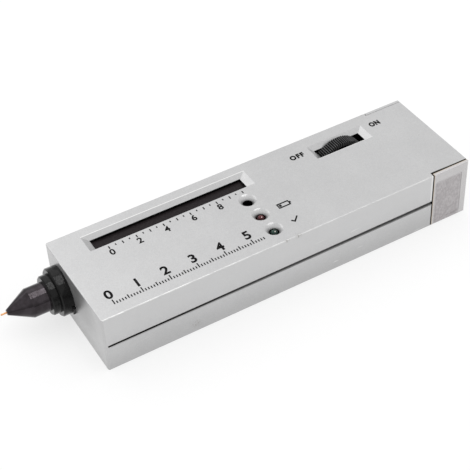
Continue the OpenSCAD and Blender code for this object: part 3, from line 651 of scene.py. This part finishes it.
def lamp_lens(name, deep, bright, axis_point):
    """A tinted lamp: deep at its sides, with a paler ring and centre painted as the dome's reflection, a
    small painted glint, and a glossy skin.
    """
    finish = Finish(name, deep, roughness=0.16, specular=0.2, coat=0.2, coat_roughness=0.06)
    radius = finish.distance(axis_point, ALONG_Z)
    ring = finish.band(radius, *LAMP_RING, LAMP_RING_SOFT)
    inner = finish.ramp(radius, *LAMP_INNER)
    # Painted reflection: a paler ring and centre
    sheen = finish.either(finish.both(ring, LAMP_RING_SHARE), finish.both(inner, LAMP_INNER_SHARE))
    haze = finish.uneven(LAMP_HAZE_PATCH, *LAMP_HAZE, detail=3.0)
    tinted = finish.mix(finish.both(sheen, haze), deep, bright)
    # A painted glint: a small pale spot just in front of the lamp's axis
    glint = finish.step(finish.distance(axis_point + LAMP_GLINT_PLACE, ALONG_Z), 0.0, 0.26, 0.12)
    finish.wear("Base Color", finish.mix(glint, tinted, LAMP_GLINT))
    finish.relief(finish.noise(LAMP_SKIN), LAMP_SKIN_DEPTH)
    return finish.material


WHEEL_DARK = (0.002, 0.002, 0.002)
WHEEL_WEAR_AND_SHEEN = (0.10, 0.10, 0.102)
WHEEL_ROUGHNESS = (0.6, 0.36)
RIDGES = 80
RIDGE_START = 0.7 * math.pi
TEETH_SPAN = (-0.2, 0.6)
TEETH_SHEEN_SHARE = 0.8
TEETH_DEPTH = 0.12 * MM
THUMB_PATCH = 1.4 * MM
THUMB_SPAN = (0.3, 0.6)
THUMB_SHARES = (0.5, 1.0)
WHEEL_GRAIN = 0.2 * MM
WHEEL_GRAIN_DEPTH = 0.006 * MM


def wheel_black():
    """The thumbwheel: black moulding, greyed on its ridges' crests by thumb wear and painted sheen, with
    grey lines of teeth painted as highlights round the rim of its faces.
    """
    finish = Finish("wheel_black", WHEEL_DARK, roughness=0.5, specular=0.12)
    radius = finish.distance(wheel_mid, ALONG_Y)
    crest = finish.ramp(radius, WHEEL_RADIUS - 0.6 * RIDGE_HEIGHT, WHEEL_RADIUS - 0.1 * RIDGE_HEIGHT)
    ahead = finish.join("SUBTRACT", finish.axis("X"), wheel_mid.x)
    up = finish.join("SUBTRACT", finish.axis("Z"), wheel_mid.z)
    turn = finish.join("ARCTAN2", up, ahead)
    wave = finish.join("COSINE", finish.join("ADD", finish.both(turn, RIDGES), RIDGE_START), 0.0)
    teeth = finish.both(finish.ramp(wave, *TEETH_SPAN), finish.step(radius, WHEEL_RADIUS, -3.0, -1.2))
    worn = finish.ramp(finish.noise(THUMB_PATCH, detail=3.0), *THUMB_SPAN, *THUMB_SHARES)
    # Grey crests are thumb wear and painted sheen; the grey tooth lines on the faces' rims are painted
    # highlights
    polished_and_sheen = finish.both(finish.either(crest, finish.both(teeth, TEETH_SHEEN_SHARE)), worn)
    finish.wear("Base Color", finish.mix(polished_and_sheen, WHEEL_DARK, WHEEL_WEAR_AND_SHEEN))
    finish.wear("Roughness", finish.ramp(crest, 0.0, 1.0, *WHEEL_ROUGHNESS))
    finish.relief(teeth, TEETH_DEPTH)
    finish.relief(finish.noise(WHEEL_GRAIN), WHEEL_GRAIN_DEPTH)
    return finish.material


# Plain plastics and metals

PLASTIC_SPREAD = 0.06
TONE_GRAINS = 6.0
GLOSS_GRAINS = 4.0
RING = 0.12 * MM
RING_STRETCH = (1.0, 0.02, 0.02)
TURNED_PATCH = 2.2 * MM
TURNED_SPREAD = 0.05
STREAK_STRETCH = (0.25, 1.0, 1.0)
STREAK_DEPTH = 0.004 * MM
METAL_GLOSS_GRAINS = 3.0
METAL_SMOOTHER = 0.06
METAL_ROUGHER = 0.1


def moulded(name, dark, light, roughness, grain, depth, specular=0.4):
    """A plastic with a faint unevenness of tone, and a grain whose size and depth are in millimetres."""
    finish = Finish(name, light, roughness, specular=specular)
    size = grain * MM
    gloss = finish.uneven(GLOSS_GRAINS * size, roughness - PLASTIC_SPREAD, roughness + PLASTIC_SPREAD)
    finish.wear("Base Color", finish.blotches(finish.noise(TONE_GRAINS * size, detail=4.0), dark, light))
    finish.wear("Roughness", gloss)
    finish.relief(finish.noise(size, detail=3.0), depth * MM)
    return finish


def turned(name, dark, light, roughness, ring_depth=0.004, metallic=1.0, specular=0.5):
    """A piece turned about the probe's axis: a patchy tone, and rings whose depth is in millimetres."""
    finish = Finish(name, light, roughness, metallic=metallic, specular=specular)
    rings = finish.noise(RING, detail=3.0, stretch=RING_STRETCH, point=probe_mid)
    gloss = finish.ramp(rings, *WIDE_SPAN, roughness - TURNED_SPREAD, roughness + TURNED_SPREAD)
    finish.wear("Base Color", finish.blotches(finish.noise(TURNED_PATCH, detail=4.0), dark, light))
    finish.wear("Roughness", gloss)
    finish.relief(rings, ring_depth * MM)
    return finish


def metal(name, dark, light, roughness, grain):
    """Plated sheet or wire: a streaky tone, and a fine grain whose size is in millimetres."""
    finish = Finish(name, light, roughness, metallic=1.0)
    size = grain * MM
    streaks = finish.noise(size, detail=4.0, stretch=STREAK_STRETCH)
    gloss = finish.uneven(METAL_GLOSS_GRAINS * size, roughness - METAL_SMOOTHER, roughness + METAL_ROUGHER)
    finish.wear("Base Color", finish.blotches(streaks, dark, light))
    finish.wear("Roughness", gloss)
    finish.relief(streaks, STREAK_DEPTH)
    return finish.material


COLLAR_DARK = (0.003, 0.003, 0.003)
COLLAR_LIGHT = (0.006, 0.006, 0.006)
CONE_DARK = (0.028, 0.023, 0.026)
CONE_LIGHT = (0.044, 0.037, 0.042)
COPPER_DARK = (0.50, 0.24, 0.11)
COPPER_LIGHT = (0.78, 0.42, 0.20)
FAINT_RINGS = 0.0006
COLLAR_DENT = 1.1 * MM
COLLAR_DENT_DEPTH = 0.05 * MM
CONE_DENT = 2.0 * MM
CONE_DENT_DEPTH = 0.03 * MM


def collar_black():
    """The collar: black glossy moulding with an uneven skin that breaks up its highlights."""
    finish = turned(
        "collar_black", COLLAR_DARK, COLLAR_LIGHT, roughness=0.10,
        ring_depth=FAINT_RINGS, metallic=0.0, specular=0.2,
    )
    finish.relief(finish.noise(COLLAR_DENT, detail=4.0), COLLAR_DENT_DEPTH)
    return finish.material


def cone_gunmetal():
    """The cone: dark violet-brown plated metal, with faint turning rings and a slightly uneven skin."""
    finish = turned(
        "cone_gunmetal", CONE_DARK, CONE_LIGHT, roughness=0.12, ring_depth=FAINT_RINGS, metallic=0.75
    )
    finish.relief(finish.noise(CONE_DENT, detail=3.0), CONE_DENT_DEPTH)
    return finish.material


def pin_copper():
    """The contact pin: bright copper, browned in patches."""
    return turned("pin_copper", COPPER_DARK, COPPER_LIGHT, roughness=0.3).material


# Finishes of the inside

BOARD_MEAN = (0.36, 0.21, 0.09)
BOARD_DARK = (0.27, 0.15, 0.06)
BOARD_LIGHT = (0.42, 0.26, 0.12)
BOARD_SPAN = (0.38, 0.62)
FIBRE = 0.5 * MM
FIBRE_DEPTH = 0.01 * MM
WEFT_STRETCH = (0.08, 1.0, 1.0)
WARP_STRETCH = (1.0, 0.08, 1.0)


def board_tan():
    """Paper-phenolic board: brown fibres in two directions."""
    finish = Finish("board_tan", BOARD_MEAN, roughness=0.55, specular=0.4)
    weft = finish.noise(FIBRE, detail=3.0, stretch=WEFT_STRETCH)
    warp = finish.noise(FIBRE, detail=3.0, stretch=WARP_STRETCH)
    fibre = finish.both(finish.join("ADD", weft, warp), 0.5)
    finish.wear("Base Color", finish.mix(finish.ramp(fibre, *BOARD_SPAN), BOARD_DARK, BOARD_LIGHT))
    finish.relief(fibre, FIBRE_DEPTH)
    return finish.material


CAN_DARK = (0.012, 0.03, 0.12)
CAN_LIGHT = (0.02, 0.05, 0.18)
CAN_STRIPE = (0.45, 0.5, 0.55)
CAN_TOP = (0.6, 0.6, 0.62)


def can_blue():
    """Capacitor cans: a blue sleeve with a pale stripe, and a bare metal top."""
    low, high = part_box("capacitors")
    finish = moulded("can_blue", CAN_DARK, CAN_LIGHT, roughness=0.35, grain=0.3, depth=0.004)
    stripe = finish.step(finish.axis("Y"), low.y, 0.5, 0.4)
    striped = finish.mix(stripe, finish.worn("Base Color"), CAN_STRIPE)
    top = finish.step(finish.axis("Z"), high.z, -0.15, -0.05)
    finish.wear("Base Color", finish.mix(top, striped, CAN_TOP))
    finish.wear("Metallic", top)
    return finish.material


RESISTOR_DARK = (0.46, 0.33, 0.2)
RESISTOR_LIGHT = (0.56, 0.42, 0.27)
RESISTOR_BAND = 0.5 * MM
RESISTOR_BAND_SOFT = 0.03 * MM

# Colour bands: where each starts, in millimetres from the resistors' middle, and its paint
RESISTOR_BANDS = (
    (-1.9, (0.16, 0.06, 0.02)),
    (-0.9, (0.01, 0.01, 0.01)),
    (0.1, (0.45, 0.03, 0.02)),
    (1.7, (0.45, 0.30, 0.06)),
)


def resistor_tan():
    """Resistors: tan ceramic bodies with four colour bands across them."""
    center = middle("resistors").x
    finish = moulded("resistor_tan", RESISTOR_DARK, RESISTOR_LIGHT, roughness=0.4, grain=0.25, depth=0.004)
    color = finish.worn("Base Color")
    for place, paint in RESISTOR_BANDS:
        edge = center + place * MM
        band = finish.band(finish.axis("X"), edge, edge + RESISTOR_BAND, RESISTOR_BAND_SOFT)
        color = finish.mix(band, color, paint)
    finish.wear("Base Color", color)
    return finish.material


JACKET_DARK = (0.028, 0.03, 0.034)
JACKET_LIGHT = (0.05, 0.052, 0.058)
JACKET_STRIPE = (0.55, 0.55, 0.54)
JACKET_ENDS = (0.52, 0.51, 0.5)


def battery_jacket():
    """The nine-volt block: a printed steel jacket with a pale stripe and rolled bright ends."""
    low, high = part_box("battery")
    finish = moulded("battery_jacket", JACKET_DARK, JACKET_LIGHT, roughness=0.35, grain=0.4, depth=0.004)
    x = finish.axis("X")
    stripe = finish.band(x, low.x + 9 * MM, low.x + 13 * MM, 0.05 * MM)
    printed = finish.mix(stripe, finish.worn("Base Color"), JACKET_STRIPE)
    ends = finish.either(finish.step(x, low.x, 1.0, 0.9), finish.step(x, high.x, -1.0, -0.9))
    finish.wear("Base Color", finish.mix(ends, printed, JACKET_ENDS))
    finish.wear("Metallic", ends)
    return finish.material


# Nodes of plain plastic: finish, dark and light tone, roughness, grain and its depth in millimetres
PLASTICS = {
    "light_bars": ("light_bar_red", (0.28, 0.02, 0.015), (0.42, 0.035, 0.025), 0.3, 0.4, 0.004),
    "board_chips": ("chip_black", (0.016, 0.016, 0.017), (0.03, 0.03, 0.031), 0.5, 0.2, 0.008),
    "trimmers": ("trimmer_blue", (0.02, 0.08, 0.26), (0.03, 0.11, 0.34), 0.4, 0.3, 0.006),
    "potentiometer": ("pot_grey", (0.17, 0.17, 0.17), (0.24, 0.24, 0.24), 0.45, 0.3, 0.006),
    "battery_leads": ("lead_red", (0.32, 0.015, 0.012), (0.42, 0.025, 0.02), 0.4, 0.3, 0.006),
    "collar_nut": ("nut_black", (0.010, 0.010, 0.010), (0.02, 0.02, 0.02), 0.45, 0.3, 0.006),
    "probe_holder": ("sleeve_ivory", (0.58, 0.54, 0.44), (0.68, 0.64, 0.54), 0.45, 0.3, 0.006),
    "probe_sensor": ("sensor_white", (0.66, 0.66, 0.63), (0.76, 0.76, 0.73), 0.5, 0.2, 0.006),
    "probe_leads": ("lead_yellow", (0.5, 0.33, 0.03), (0.62, 0.43, 0.05), 0.4, 0.3, 0.006),
}
BLACK_MATTE = ("black_matte", (0.010, 0.010, 0.010), (0.020, 0.020, 0.020), 0.6, 0.3, 0.008, 0.3)

# Metals: finish, dark and light tone, roughness and the grain's size in millimetres
BRIGHT_METAL = ("bright_metal", (0.52, 0.51, 0.49), (0.72, 0.71, 0.69), 0.28, 0.5)
SCREW_STEEL = ("screw_steel", (0.36, 0.36, 0.36), (0.6, 0.6, 0.6), 0.34, 0.4)
SPRING_STEEL = ("spring_steel", (0.42, 0.41, 0.4), (0.62, 0.61, 0.6), 0.3, 0.3)


def dress_nodes(cap_paint):
    """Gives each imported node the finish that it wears."""
    silver = case_silver()
    black = moulded(*BLACK_MATTE).material
    bright = metal(*BRIGHT_METAL)
    steel = metal(*SCREW_STEEL)
    finishes = {
        "top_shell": silver,
        "bottom_shell": silver,
        "battery_cap": cap_paint,
        "case_screws": steel,
        "display_window": filter_dark(),
        "light_carrier": black,
        "low_battery_lamp": lamp_lens("lamp_red", RED_DEEP, RED_BRIGHT, red_mid),
        "ready_lamp": lamp_lens("lamp_green", GREEN_DEEP, GREEN_BRIGHT, green_mid),
        "buzzer": black,
        "circuit_board": board_tan(),
        "board_screws": steel,
        "capacitors": can_blue(),
        "resistors": resistor_tan(),
        "potentiometer_shaft": bright,
        "thumbwheel": wheel_black(),
        "thumbwheel_screw": steel,
        "battery": battery_jacket(),
        "battery_terminals": bright,
        "battery_snap": black,
        "probe_collar": collar_black(),
        "probe_cone": cone_gunmetal(),
        "probe_tip": pin_copper(),
        "probe_spring": metal(*SPRING_STEEL),
    }
    for node, plastic in PLASTICS.items():
        finishes[node] = moulded(*plastic).material
    for node, material in finishes.items():
        for slot in nodes[node].material_slots:
            slot.material = material


# New pieces

MERGE_GAP = 0.0005 * MM


def pick(*pieces):
    """Selects only these pieces and makes the first one active."""
    bpy.ops.object.select_all(action="DESELECT")
    for piece in pieces:
        piece.select_set(True)
    bpy.context.view_layer.objects.active = pieces[0]


def settle(piece):
    """Puts a piece's place, turn and scale into its mesh."""
    pick(piece)
    bpy.ops.object.transform_apply(location=True, rotation=True, scale=True)


def close_mesh(piece):
    """Merges doubled points and turns every face outwards."""
    pick(piece)
    bpy.ops.object.mode_set(mode="EDIT")
    bpy.ops.mesh.select_all(action="SELECT")
    bpy.ops.mesh.remove_doubles(threshold=MERGE_GAP)
    bpy.ops.mesh.normals_make_consistent(inside=False)
    bpy.ops.object.mode_set(mode="OBJECT")


def curve_mesh(name, curve):
    """The mesh of a curve, as a new piece."""
    piece = bpy.data.objects.new(name, curve)
    bpy.context.scene.collection.objects.link(piece)
    pick(piece)
    bpy.ops.object.convert(target="MESH")
    return bpy.context.object


# Printed marks: thickness in millimetres, how far they stand out, and a capital's share of the text size
INK = 0.05
INK_PROUD = 0.03 * MM
CAPITAL_SHARE = 0.682


def lay_ink(piece, x, y, wide=1.0):
    """Brings a mark laid out in millimetres to its place on the roof, a little sunk in the paint."""
    piece.scale = (wide * MM, MM, MM)
    piece.location = (x, y, ROOF_Z + INK_PROUD - INK / 2 * MM)
    settle(piece)
    return piece


def ink_word(words, height, x, y, bold=0.0, spacing=1.0, wide=1.0):
    """A printed word or number, centred on its place on the roof."""
    bpy.ops.object.select_all(action="DESELECT")
    bpy.ops.object.text_add(location=(0, 0, 0))
    piece = bpy.context.object
    piece.data.body = words
    piece.data.size = height / CAPITAL_SHARE
    piece.data.offset = bold
    piece.data.space_character = spacing
    piece.data.extrude = INK / 2
    piece.data.align_x = "CENTER"
    piece.data.align_y = "CENTER"
    bpy.ops.object.convert(target="MESH")
    return lay_ink(bpy.context.object, x, y, wide)


def ink_shape(outlines, x, y):
    """A printed mark from closed outlines in millimetres, where an outline in another is a hole."""
    curve = bpy.data.curves.new("mark", "CURVE")
    curve.dimensions = "2D"
    curve.fill_mode = "BOTH"
    curve.extrude = INK / 2
    for outline in outlines:
        spline = curve.splines.new("POLY")
        spline.points.add(len(outline) - 1)
        for point, (px, py) in zip(spline.points, outline):
            point.co = (px, py, 0.0, 1.0)
        spline.use_cyclic_u = True
    return lay_ink(curve_mesh("mark", curve), x, y)


def rectangle(x0, y0, x1, y1):
    """The outline of a rectangle from two opposite corners."""
    return ((x0, y0), (x1, y0), (x1, y1), (x0, y1))


def print_on_case(name, marks, ink):
    """Joins printed marks into one piece that rides on the case."""
    pick(*marks)
    bpy.ops.object.join()
    piece = bpy.context.object
    piece.name = name
    piece.data.name = name
    close_mesh(piece)
    piece.data.materials.clear()
    piece.data.materials.append(ink)
    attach(piece, "case")


SWITCH_CAPITALS = 2.05

# The switch's words: text, place on the roof, boldness, spacing of the letters and their width
SWITCH_WORDS = (
    ("OFF", 33.25 * MM, 13.35 * MM, 0.18, 1.26, 0.88),
    ("ON", 66.1 * MM, 13.95 * MM, 0.19, 1.14, 0.82),
)


def switch_words(ink):
    """ON and OFF, at the two ends of the thumbwheel's slot."""
    marks = [ink_word(words, SWITCH_CAPITALS, *manner) for words, *manner in SWITCH_WORDS]
    print_on_case("switch_words", marks, ink)


# The scale's sizes are in millimetres, its lines counted from the window's middle
SCALE_TICKS = 20
SCALE_NUMBER_EVERY = 4
SCALE_LENGTH = 50.0
SCALE_LINE_Y = -4.9
SCALE_DIGIT_Y = -8.1
SCALE_DIGITS = 2.5
SCALE_BOLD = 0.1
TICK_WIDTH = 0.4
TICK_SHORT = 0.75
TICK_LONG = 1.3


def window_scale(ink):
    """A plain scale in front of the window, numbered 0 to 8, with its last tick bare."""
    outlines = []
    marks = []
    for step in range(SCALE_TICKS + 1):
        place = (step / SCALE_TICKS - 0.5) * SCALE_LENGTH
        length = TICK_SHORT if step % 2 else TICK_LONG
        outlines.append(rectangle(place - TICK_WIDTH / 2, -length, place + TICK_WIDTH / 2, 0))
        if step % SCALE_NUMBER_EVERY == 0 and step < SCALE_TICKS:
            x = window_mid.x + place * MM
            y = window_mid.y + SCALE_DIGIT_Y * MM
            marks.append(ink_word(str(step // 2), SCALE_DIGITS, x, y, SCALE_BOLD))
    marks.append(ink_shape(outlines, window_mid.x, window_mid.y + SCALE_LINE_Y * MM))
    print_on_case("window_scale", marks, ink)


# The ruler's ticks are in millimetres: those at each centimetre and half of one, and the others
RULER_START_X = NOSE_X + 7.0 * MM
RULER_Y = -16.4 * MM
RULER_LENGTH = 54
RULER_DIGITS = 3.6
RULER_DIGIT_LIFT = 4.6 * MM
RULER_BOLD = 0.16
RULER_TICKS = {0: 2.2, 5: 1.7}
RULER_TICK = 1.1
RULER_TICK_WIDTH = 0.4
CENTIMETRE = 10


def stone_ruler(ink):
    """A plain millimetre ruler along the front edge, with bold numbers at each centimetre."""
    outlines = []
    marks = []
    for step in range(RULER_LENGTH + 1):
        length = RULER_TICKS.get(step % CENTIMETRE, RULER_TICK)
        outlines.append(rectangle(step - RULER_TICK_WIDTH / 2, 0, step + RULER_TICK_WIDTH / 2, length))
        if step % CENTIMETRE == 0:
            x = RULER_START_X + step * MM
            y = RULER_Y + RULER_DIGIT_LIFT
            marks.append(ink_word(str(step // CENTIMETRE), RULER_DIGITS, x, y, RULER_BOLD))
    marks.append(ink_shape(outlines, RULER_START_X, RULER_Y))
    print_on_case("stone_ruler", marks, ink)


# The lamps' signs, in millimetres from the left end of each
LAMP_SIGN_GAP = 6.6 * MM
BATTERY_CASE = (rectangle(0, -1.2, 4.6, 1.2), rectangle(0.42, -0.68, 4.18, 0.68))
BATTERY_STUD = rectangle(4.6, -0.45, 5.05, 0.45)
BATTERY_CHARGE = rectangle(0.6, -0.5, 1.5, 0.5)
TICK_SIGN = ((0, 0.1), (0.45, 0.5), (1.1, -0.25), (2.9, 1.5), (3.25, 1.15), (1.1, -1.05))


def lamp_marks(ink):
    """A battery sign beside the red lamp and a tick beside the green one."""
    marks = [
        ink_shape(BATTERY_CASE, red_mid.x + LAMP_SIGN_GAP, red_mid.y),
        ink_shape((BATTERY_STUD, BATTERY_CHARGE), red_mid.x + LAMP_SIGN_GAP, red_mid.y),
        ink_shape((TICK_SIGN,), green_mid.x + LAMP_SIGN_GAP, green_mid.y),
    ]
    print_on_case("lamp_marks", marks, ink)


GRIP_STEP = 0.14 * MM
GRIP_BORDER = 0.12 * MM
GRIP_FADE = 1.2 * MM
GRIP_PAD = 0.07 * MM
GRIP_RELIEF = 0.11 * MM
GRIP_CREASE = math.radians(40)
PEBBLE = 0.75 * MM
PEBBLE_DETAIL = 2


def grip_panel(name, side, finish):
    """A pebbled panel that fills the shallow recess in one cheek of the cap."""
    low_x = CAP_FRONT_X + GRIP_FRONT + GRIP_BORDER
    high_x = REAR_X - GRIP_REAR - GRIP_BORDER
    low_z = GRIP_LOW + GRIP_BORDER
    high_z = ROOF_Z - GRIP_TOP - GRIP_BORDER
    width = high_x - low_x
    height = high_z - low_z
    bpy.ops.object.select_all(action="DESELECT")
    bpy.ops.mesh.primitive_grid_add(
        x_subdivisions=round(width / GRIP_STEP),
        y_subdivisions=round(height / GRIP_STEP),
        size=1.0,
        location=((low_x + high_x) / 2, side * (SIDE_Y - GRIP_DEPTH + GRIP_PAD), (low_z + high_z) / 2),
        rotation=(-side * math.pi / 2, 0, 0),
    )
    panel = bpy.context.object
    panel.name = name
    panel.data.name = name
    panel.scale = (width, height, 1.0)
    settle(panel)

    fade = panel.vertex_groups.new(name="fade")
    for point in panel.data.vertices:
        inset = min(point.co.x - low_x, high_x - point.co.x, point.co.z - low_z, high_z - point.co.z)
        fade.add([point.index], min(1.0, inset / GRIP_FADE), "REPLACE")
    pebbles = bpy.data.textures.new(name + "_pebbles", "CLOUDS")
    pebbles.noise_scale = PEBBLE
    pebbles.noise_depth = PEBBLE_DETAIL
    relief = panel.modifiers.new("relief", "DISPLACE")
    relief.texture = pebbles
    relief.texture_coords = "LOCAL"
    relief.direction = "NORMAL"
    relief.mid_level = 0.5
    relief.strength = GRIP_RELIEF
    relief.vertex_group = fade.name
    thick = panel.modifiers.new("thick", "SOLIDIFY")
    thick.thickness = GRIP_PAD
    thick.offset = -1.0
    for modifier in ("relief", "thick"):
        bpy.ops.object.modifier_apply(modifier=modifier)
    bpy.ops.object.shade_smooth_by_angle(angle=GRIP_CREASE)
    panel.data.materials.append(finish)
    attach(panel, "battery_cap")


COIL_RADIUS = 1.15 * MM
COIL_TURNS = 7
COIL_STEPS = 24
COIL_CREASE = math.radians(50)
WIRE_RADIUS = 0.17 * MM
WIRE_ROUNDNESS = 2


def press_spring():
    """The probe's spring, wound as its solid is."""
    low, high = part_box("probe_spring")
    length = high.x - low.x
    curve = bpy.data.curves.new("press_spring", "CURVE")
    curve.dimensions = "3D"
    curve.bevel_depth = WIRE_RADIUS
    curve.bevel_resolution = WIRE_ROUNDNESS
    curve.use_fill_caps = True
    wire = curve.splines.new("POLY")
    last = COIL_TURNS * COIL_STEPS
    wire.points.add(last)
    for step, point in enumerate(wire.points):
        turn = 2 * math.pi * step / COIL_STEPS
        x = low.x + WIRE_RADIUS + (length - 2 * WIRE_RADIUS) * step / last
        y = probe_mid.y + COIL_RADIUS * math.cos(turn)
        z = probe_mid.z + COIL_RADIUS * math.sin(turn)
        point.co = (x, y, z, 1.0)
    spring = curve_mesh("press_spring", curve)
    close_mesh(spring)
    bpy.ops.object.shade_smooth_by_angle(angle=COIL_CREASE)
    spring.data.materials.clear()
    spring.data.materials.append(nodes["probe_spring"].material_slots[0].material)
    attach(spring, "case")
    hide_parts("probe_spring")
    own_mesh(spring)


# Stage, light and camera

LIGHT_AIM = Vector((0.0, 0.0, 0.01))

# Area lights: place, the two sides, and watts. The strip's long side lies across the part
LIGHTS = {
    "strip_light": (Vector((0.09, 0.0, 0.75)), (0.60, 0.045), 0.38),
    "top_light": (Vector((0.30, -0.10, 0.74)), (0.25, 0.25), 0.42),
    "side_light": (Vector((-0.15, 0.53, 0.60)), (0.6, 0.6), 0.7),
}
SKY_LIGHT = 0.93
HORIZON_SHARE = 0.5
HORIZON_END = 0.5
FLOOR_LIGHT = 0.7
FLOOR_WHITE = 0.68
FLOOR_SIZE = 8.0
FLOOR_DROP = 0.05 * MM


def softbox(name, place, sides, watts):
    """An area light that faces the part."""
    light = bpy.data.lights.new(name, "AREA")
    light.shape = "RECTANGLE"
    light.size = sides[0]
    light.size_y = sides[1]
    light.energy = watts
    lamp = bpy.data.objects.new(name, light)
    bpy.context.scene.collection.objects.link(lamp)
    lamp.location = place
    lamp.rotation_euler = (LIGHT_AIM - place).to_track_quat("-Z", "Y").to_euler()


def seen_rays(tree):
    """1 for rays that show the background itself: the camera's, reflections and glass."""
    path = tree.nodes.new("ShaderNodeLightPath").outputs
    share = path["Is Camera Ray"]
    for other in ("Is Glossy Ray", "Is Transmission Ray"):
        either = tree.nodes.new("ShaderNodeMath")
        either.operation = "MAXIMUM"
        tree.links.new(share, either.inputs[0])
        tree.links.new(path[other], either.inputs[1])
        share = either.outputs[0]
    return share


def pale_tone(tree, hidden, shown):
    """A grey with one value where the background itself is seen, and another where it only gives light."""
    tone = tree.nodes.new("ShaderNodeMapRange")
    tree.links.new(seen_rays(tree), tone.inputs["Value"])
    tone.inputs["To Min"].default_value = hidden
    tone.inputs["To Max"].default_value = shown
    return tone.outputs[0]


def studio_floor():
    """A wide floor that is nearly white of itself and still takes a soft shadow."""
    bpy.ops.object.select_all(action="DESELECT")
    bpy.ops.mesh.primitive_plane_add(size=FLOOR_SIZE, location=(0, 0, -FLOOR_DROP))
    ground = bpy.context.object
    ground.name = "studio_floor"
    material = bpy.data.materials.new("studio_floor")
    material.use_nodes = True
    tree = material.node_tree
    tree.nodes.remove(tree.nodes["Principled BSDF"])
    matte = tree.nodes.new("ShaderNodeBsdfDiffuse")
    tree.links.new(pale_tone(tree, FLOOR_LIGHT, 1.0 - FLOOR_WHITE), matte.inputs["Color"])
    white = tree.nodes.new("ShaderNodeEmission")
    tree.links.new(pale_tone(tree, 0.0, FLOOR_WHITE), white.inputs["Strength"])
    both = tree.nodes.new("ShaderNodeAddShader")
    tree.links.new(matte.outputs[0], both.inputs[0])
    tree.links.new(white.outputs[0], both.inputs[1])
    tree.links.new(both.outputs[0], tree.nodes["Material Output"].inputs["Surface"])
    ground.data.materials.append(material)


def studio_world():
    """A white surrounding: plain to the camera, and darker towards the horizon for everything else."""
    world = bpy.data.worlds.new("studio")
    world.use_nodes = True
    tree = world.node_tree
    sky = tree.nodes["Background"]
    direction = tree.nodes.new("ShaderNodeSeparateXYZ")
    tree.links.new(tree.nodes.new("ShaderNodeTexCoord").outputs["Generated"], direction.inputs[0])
    lift = tree.nodes.new("ShaderNodeMapRange")
    lift.interpolation_type = "SMOOTHSTEP"
    tree.links.new(direction.outputs["Z"], lift.inputs["Value"])
    lift.inputs["From Max"].default_value = HORIZON_END
    lift.inputs["To Min"].default_value = HORIZON_SHARE
    shown = tree.nodes.new("ShaderNodeMath")
    shown.operation = "MAXIMUM"
    tree.links.new(lift.outputs[0], shown.inputs[0])
    tree.links.new(tree.nodes.new("ShaderNodeLightPath").outputs["Is Camera Ray"], shown.inputs[1])
    tree.links.new(shown.outputs[0], sky.inputs["Color"])
    tree.links.new(pale_tone(tree, SKY_LIGHT, 1.0), sky.inputs["Strength"])
    bpy.context.scene.world = world


CAMERA_PLACE = (-0.151377, -0.282147, 0.306038)
CAMERA_TURN = (47.4513, 2.3908, -30.4158)
CAMERA_LENS = 99.325
CAMERA_SENSOR = 36.0
CAMERA_NEAR = 0.01


def photo_camera():
    """The camera that took the photograph, as solved from the case's straight edges."""
    data = bpy.data.cameras.new("photo_camera")
    data.lens = CAMERA_LENS
    data.sensor_width = CAMERA_SENSOR
    data.clip_start = CAMERA_NEAR
    camera = bpy.data.objects.new("photo_camera", data)
    bpy.context.scene.collection.objects.link(camera)
    camera.location = CAMERA_PLACE
    camera.rotation_euler = [math.radians(turn) for turn in CAMERA_TURN]
    bpy.context.scene.camera = camera


photo_camera()
cap_paint = cap_silver()
dress_nodes(cap_paint)
case_ink = ink_black()
switch_words(case_ink)
window_scale(case_ink)
stone_ruler(case_ink)
lamp_marks(case_ink)
grip_panel("grip_panel_front", -1, cap_paint)
grip_panel("grip_panel_back", 1, cap_paint)
press_spring()
studio_floor()
studio_world()
for light_name, (place, sides, watts) in LIGHTS.items():
    softbox(light_name, place, sides, watts)
bpy.context.scene.view_settings.view_transform = "Standard"
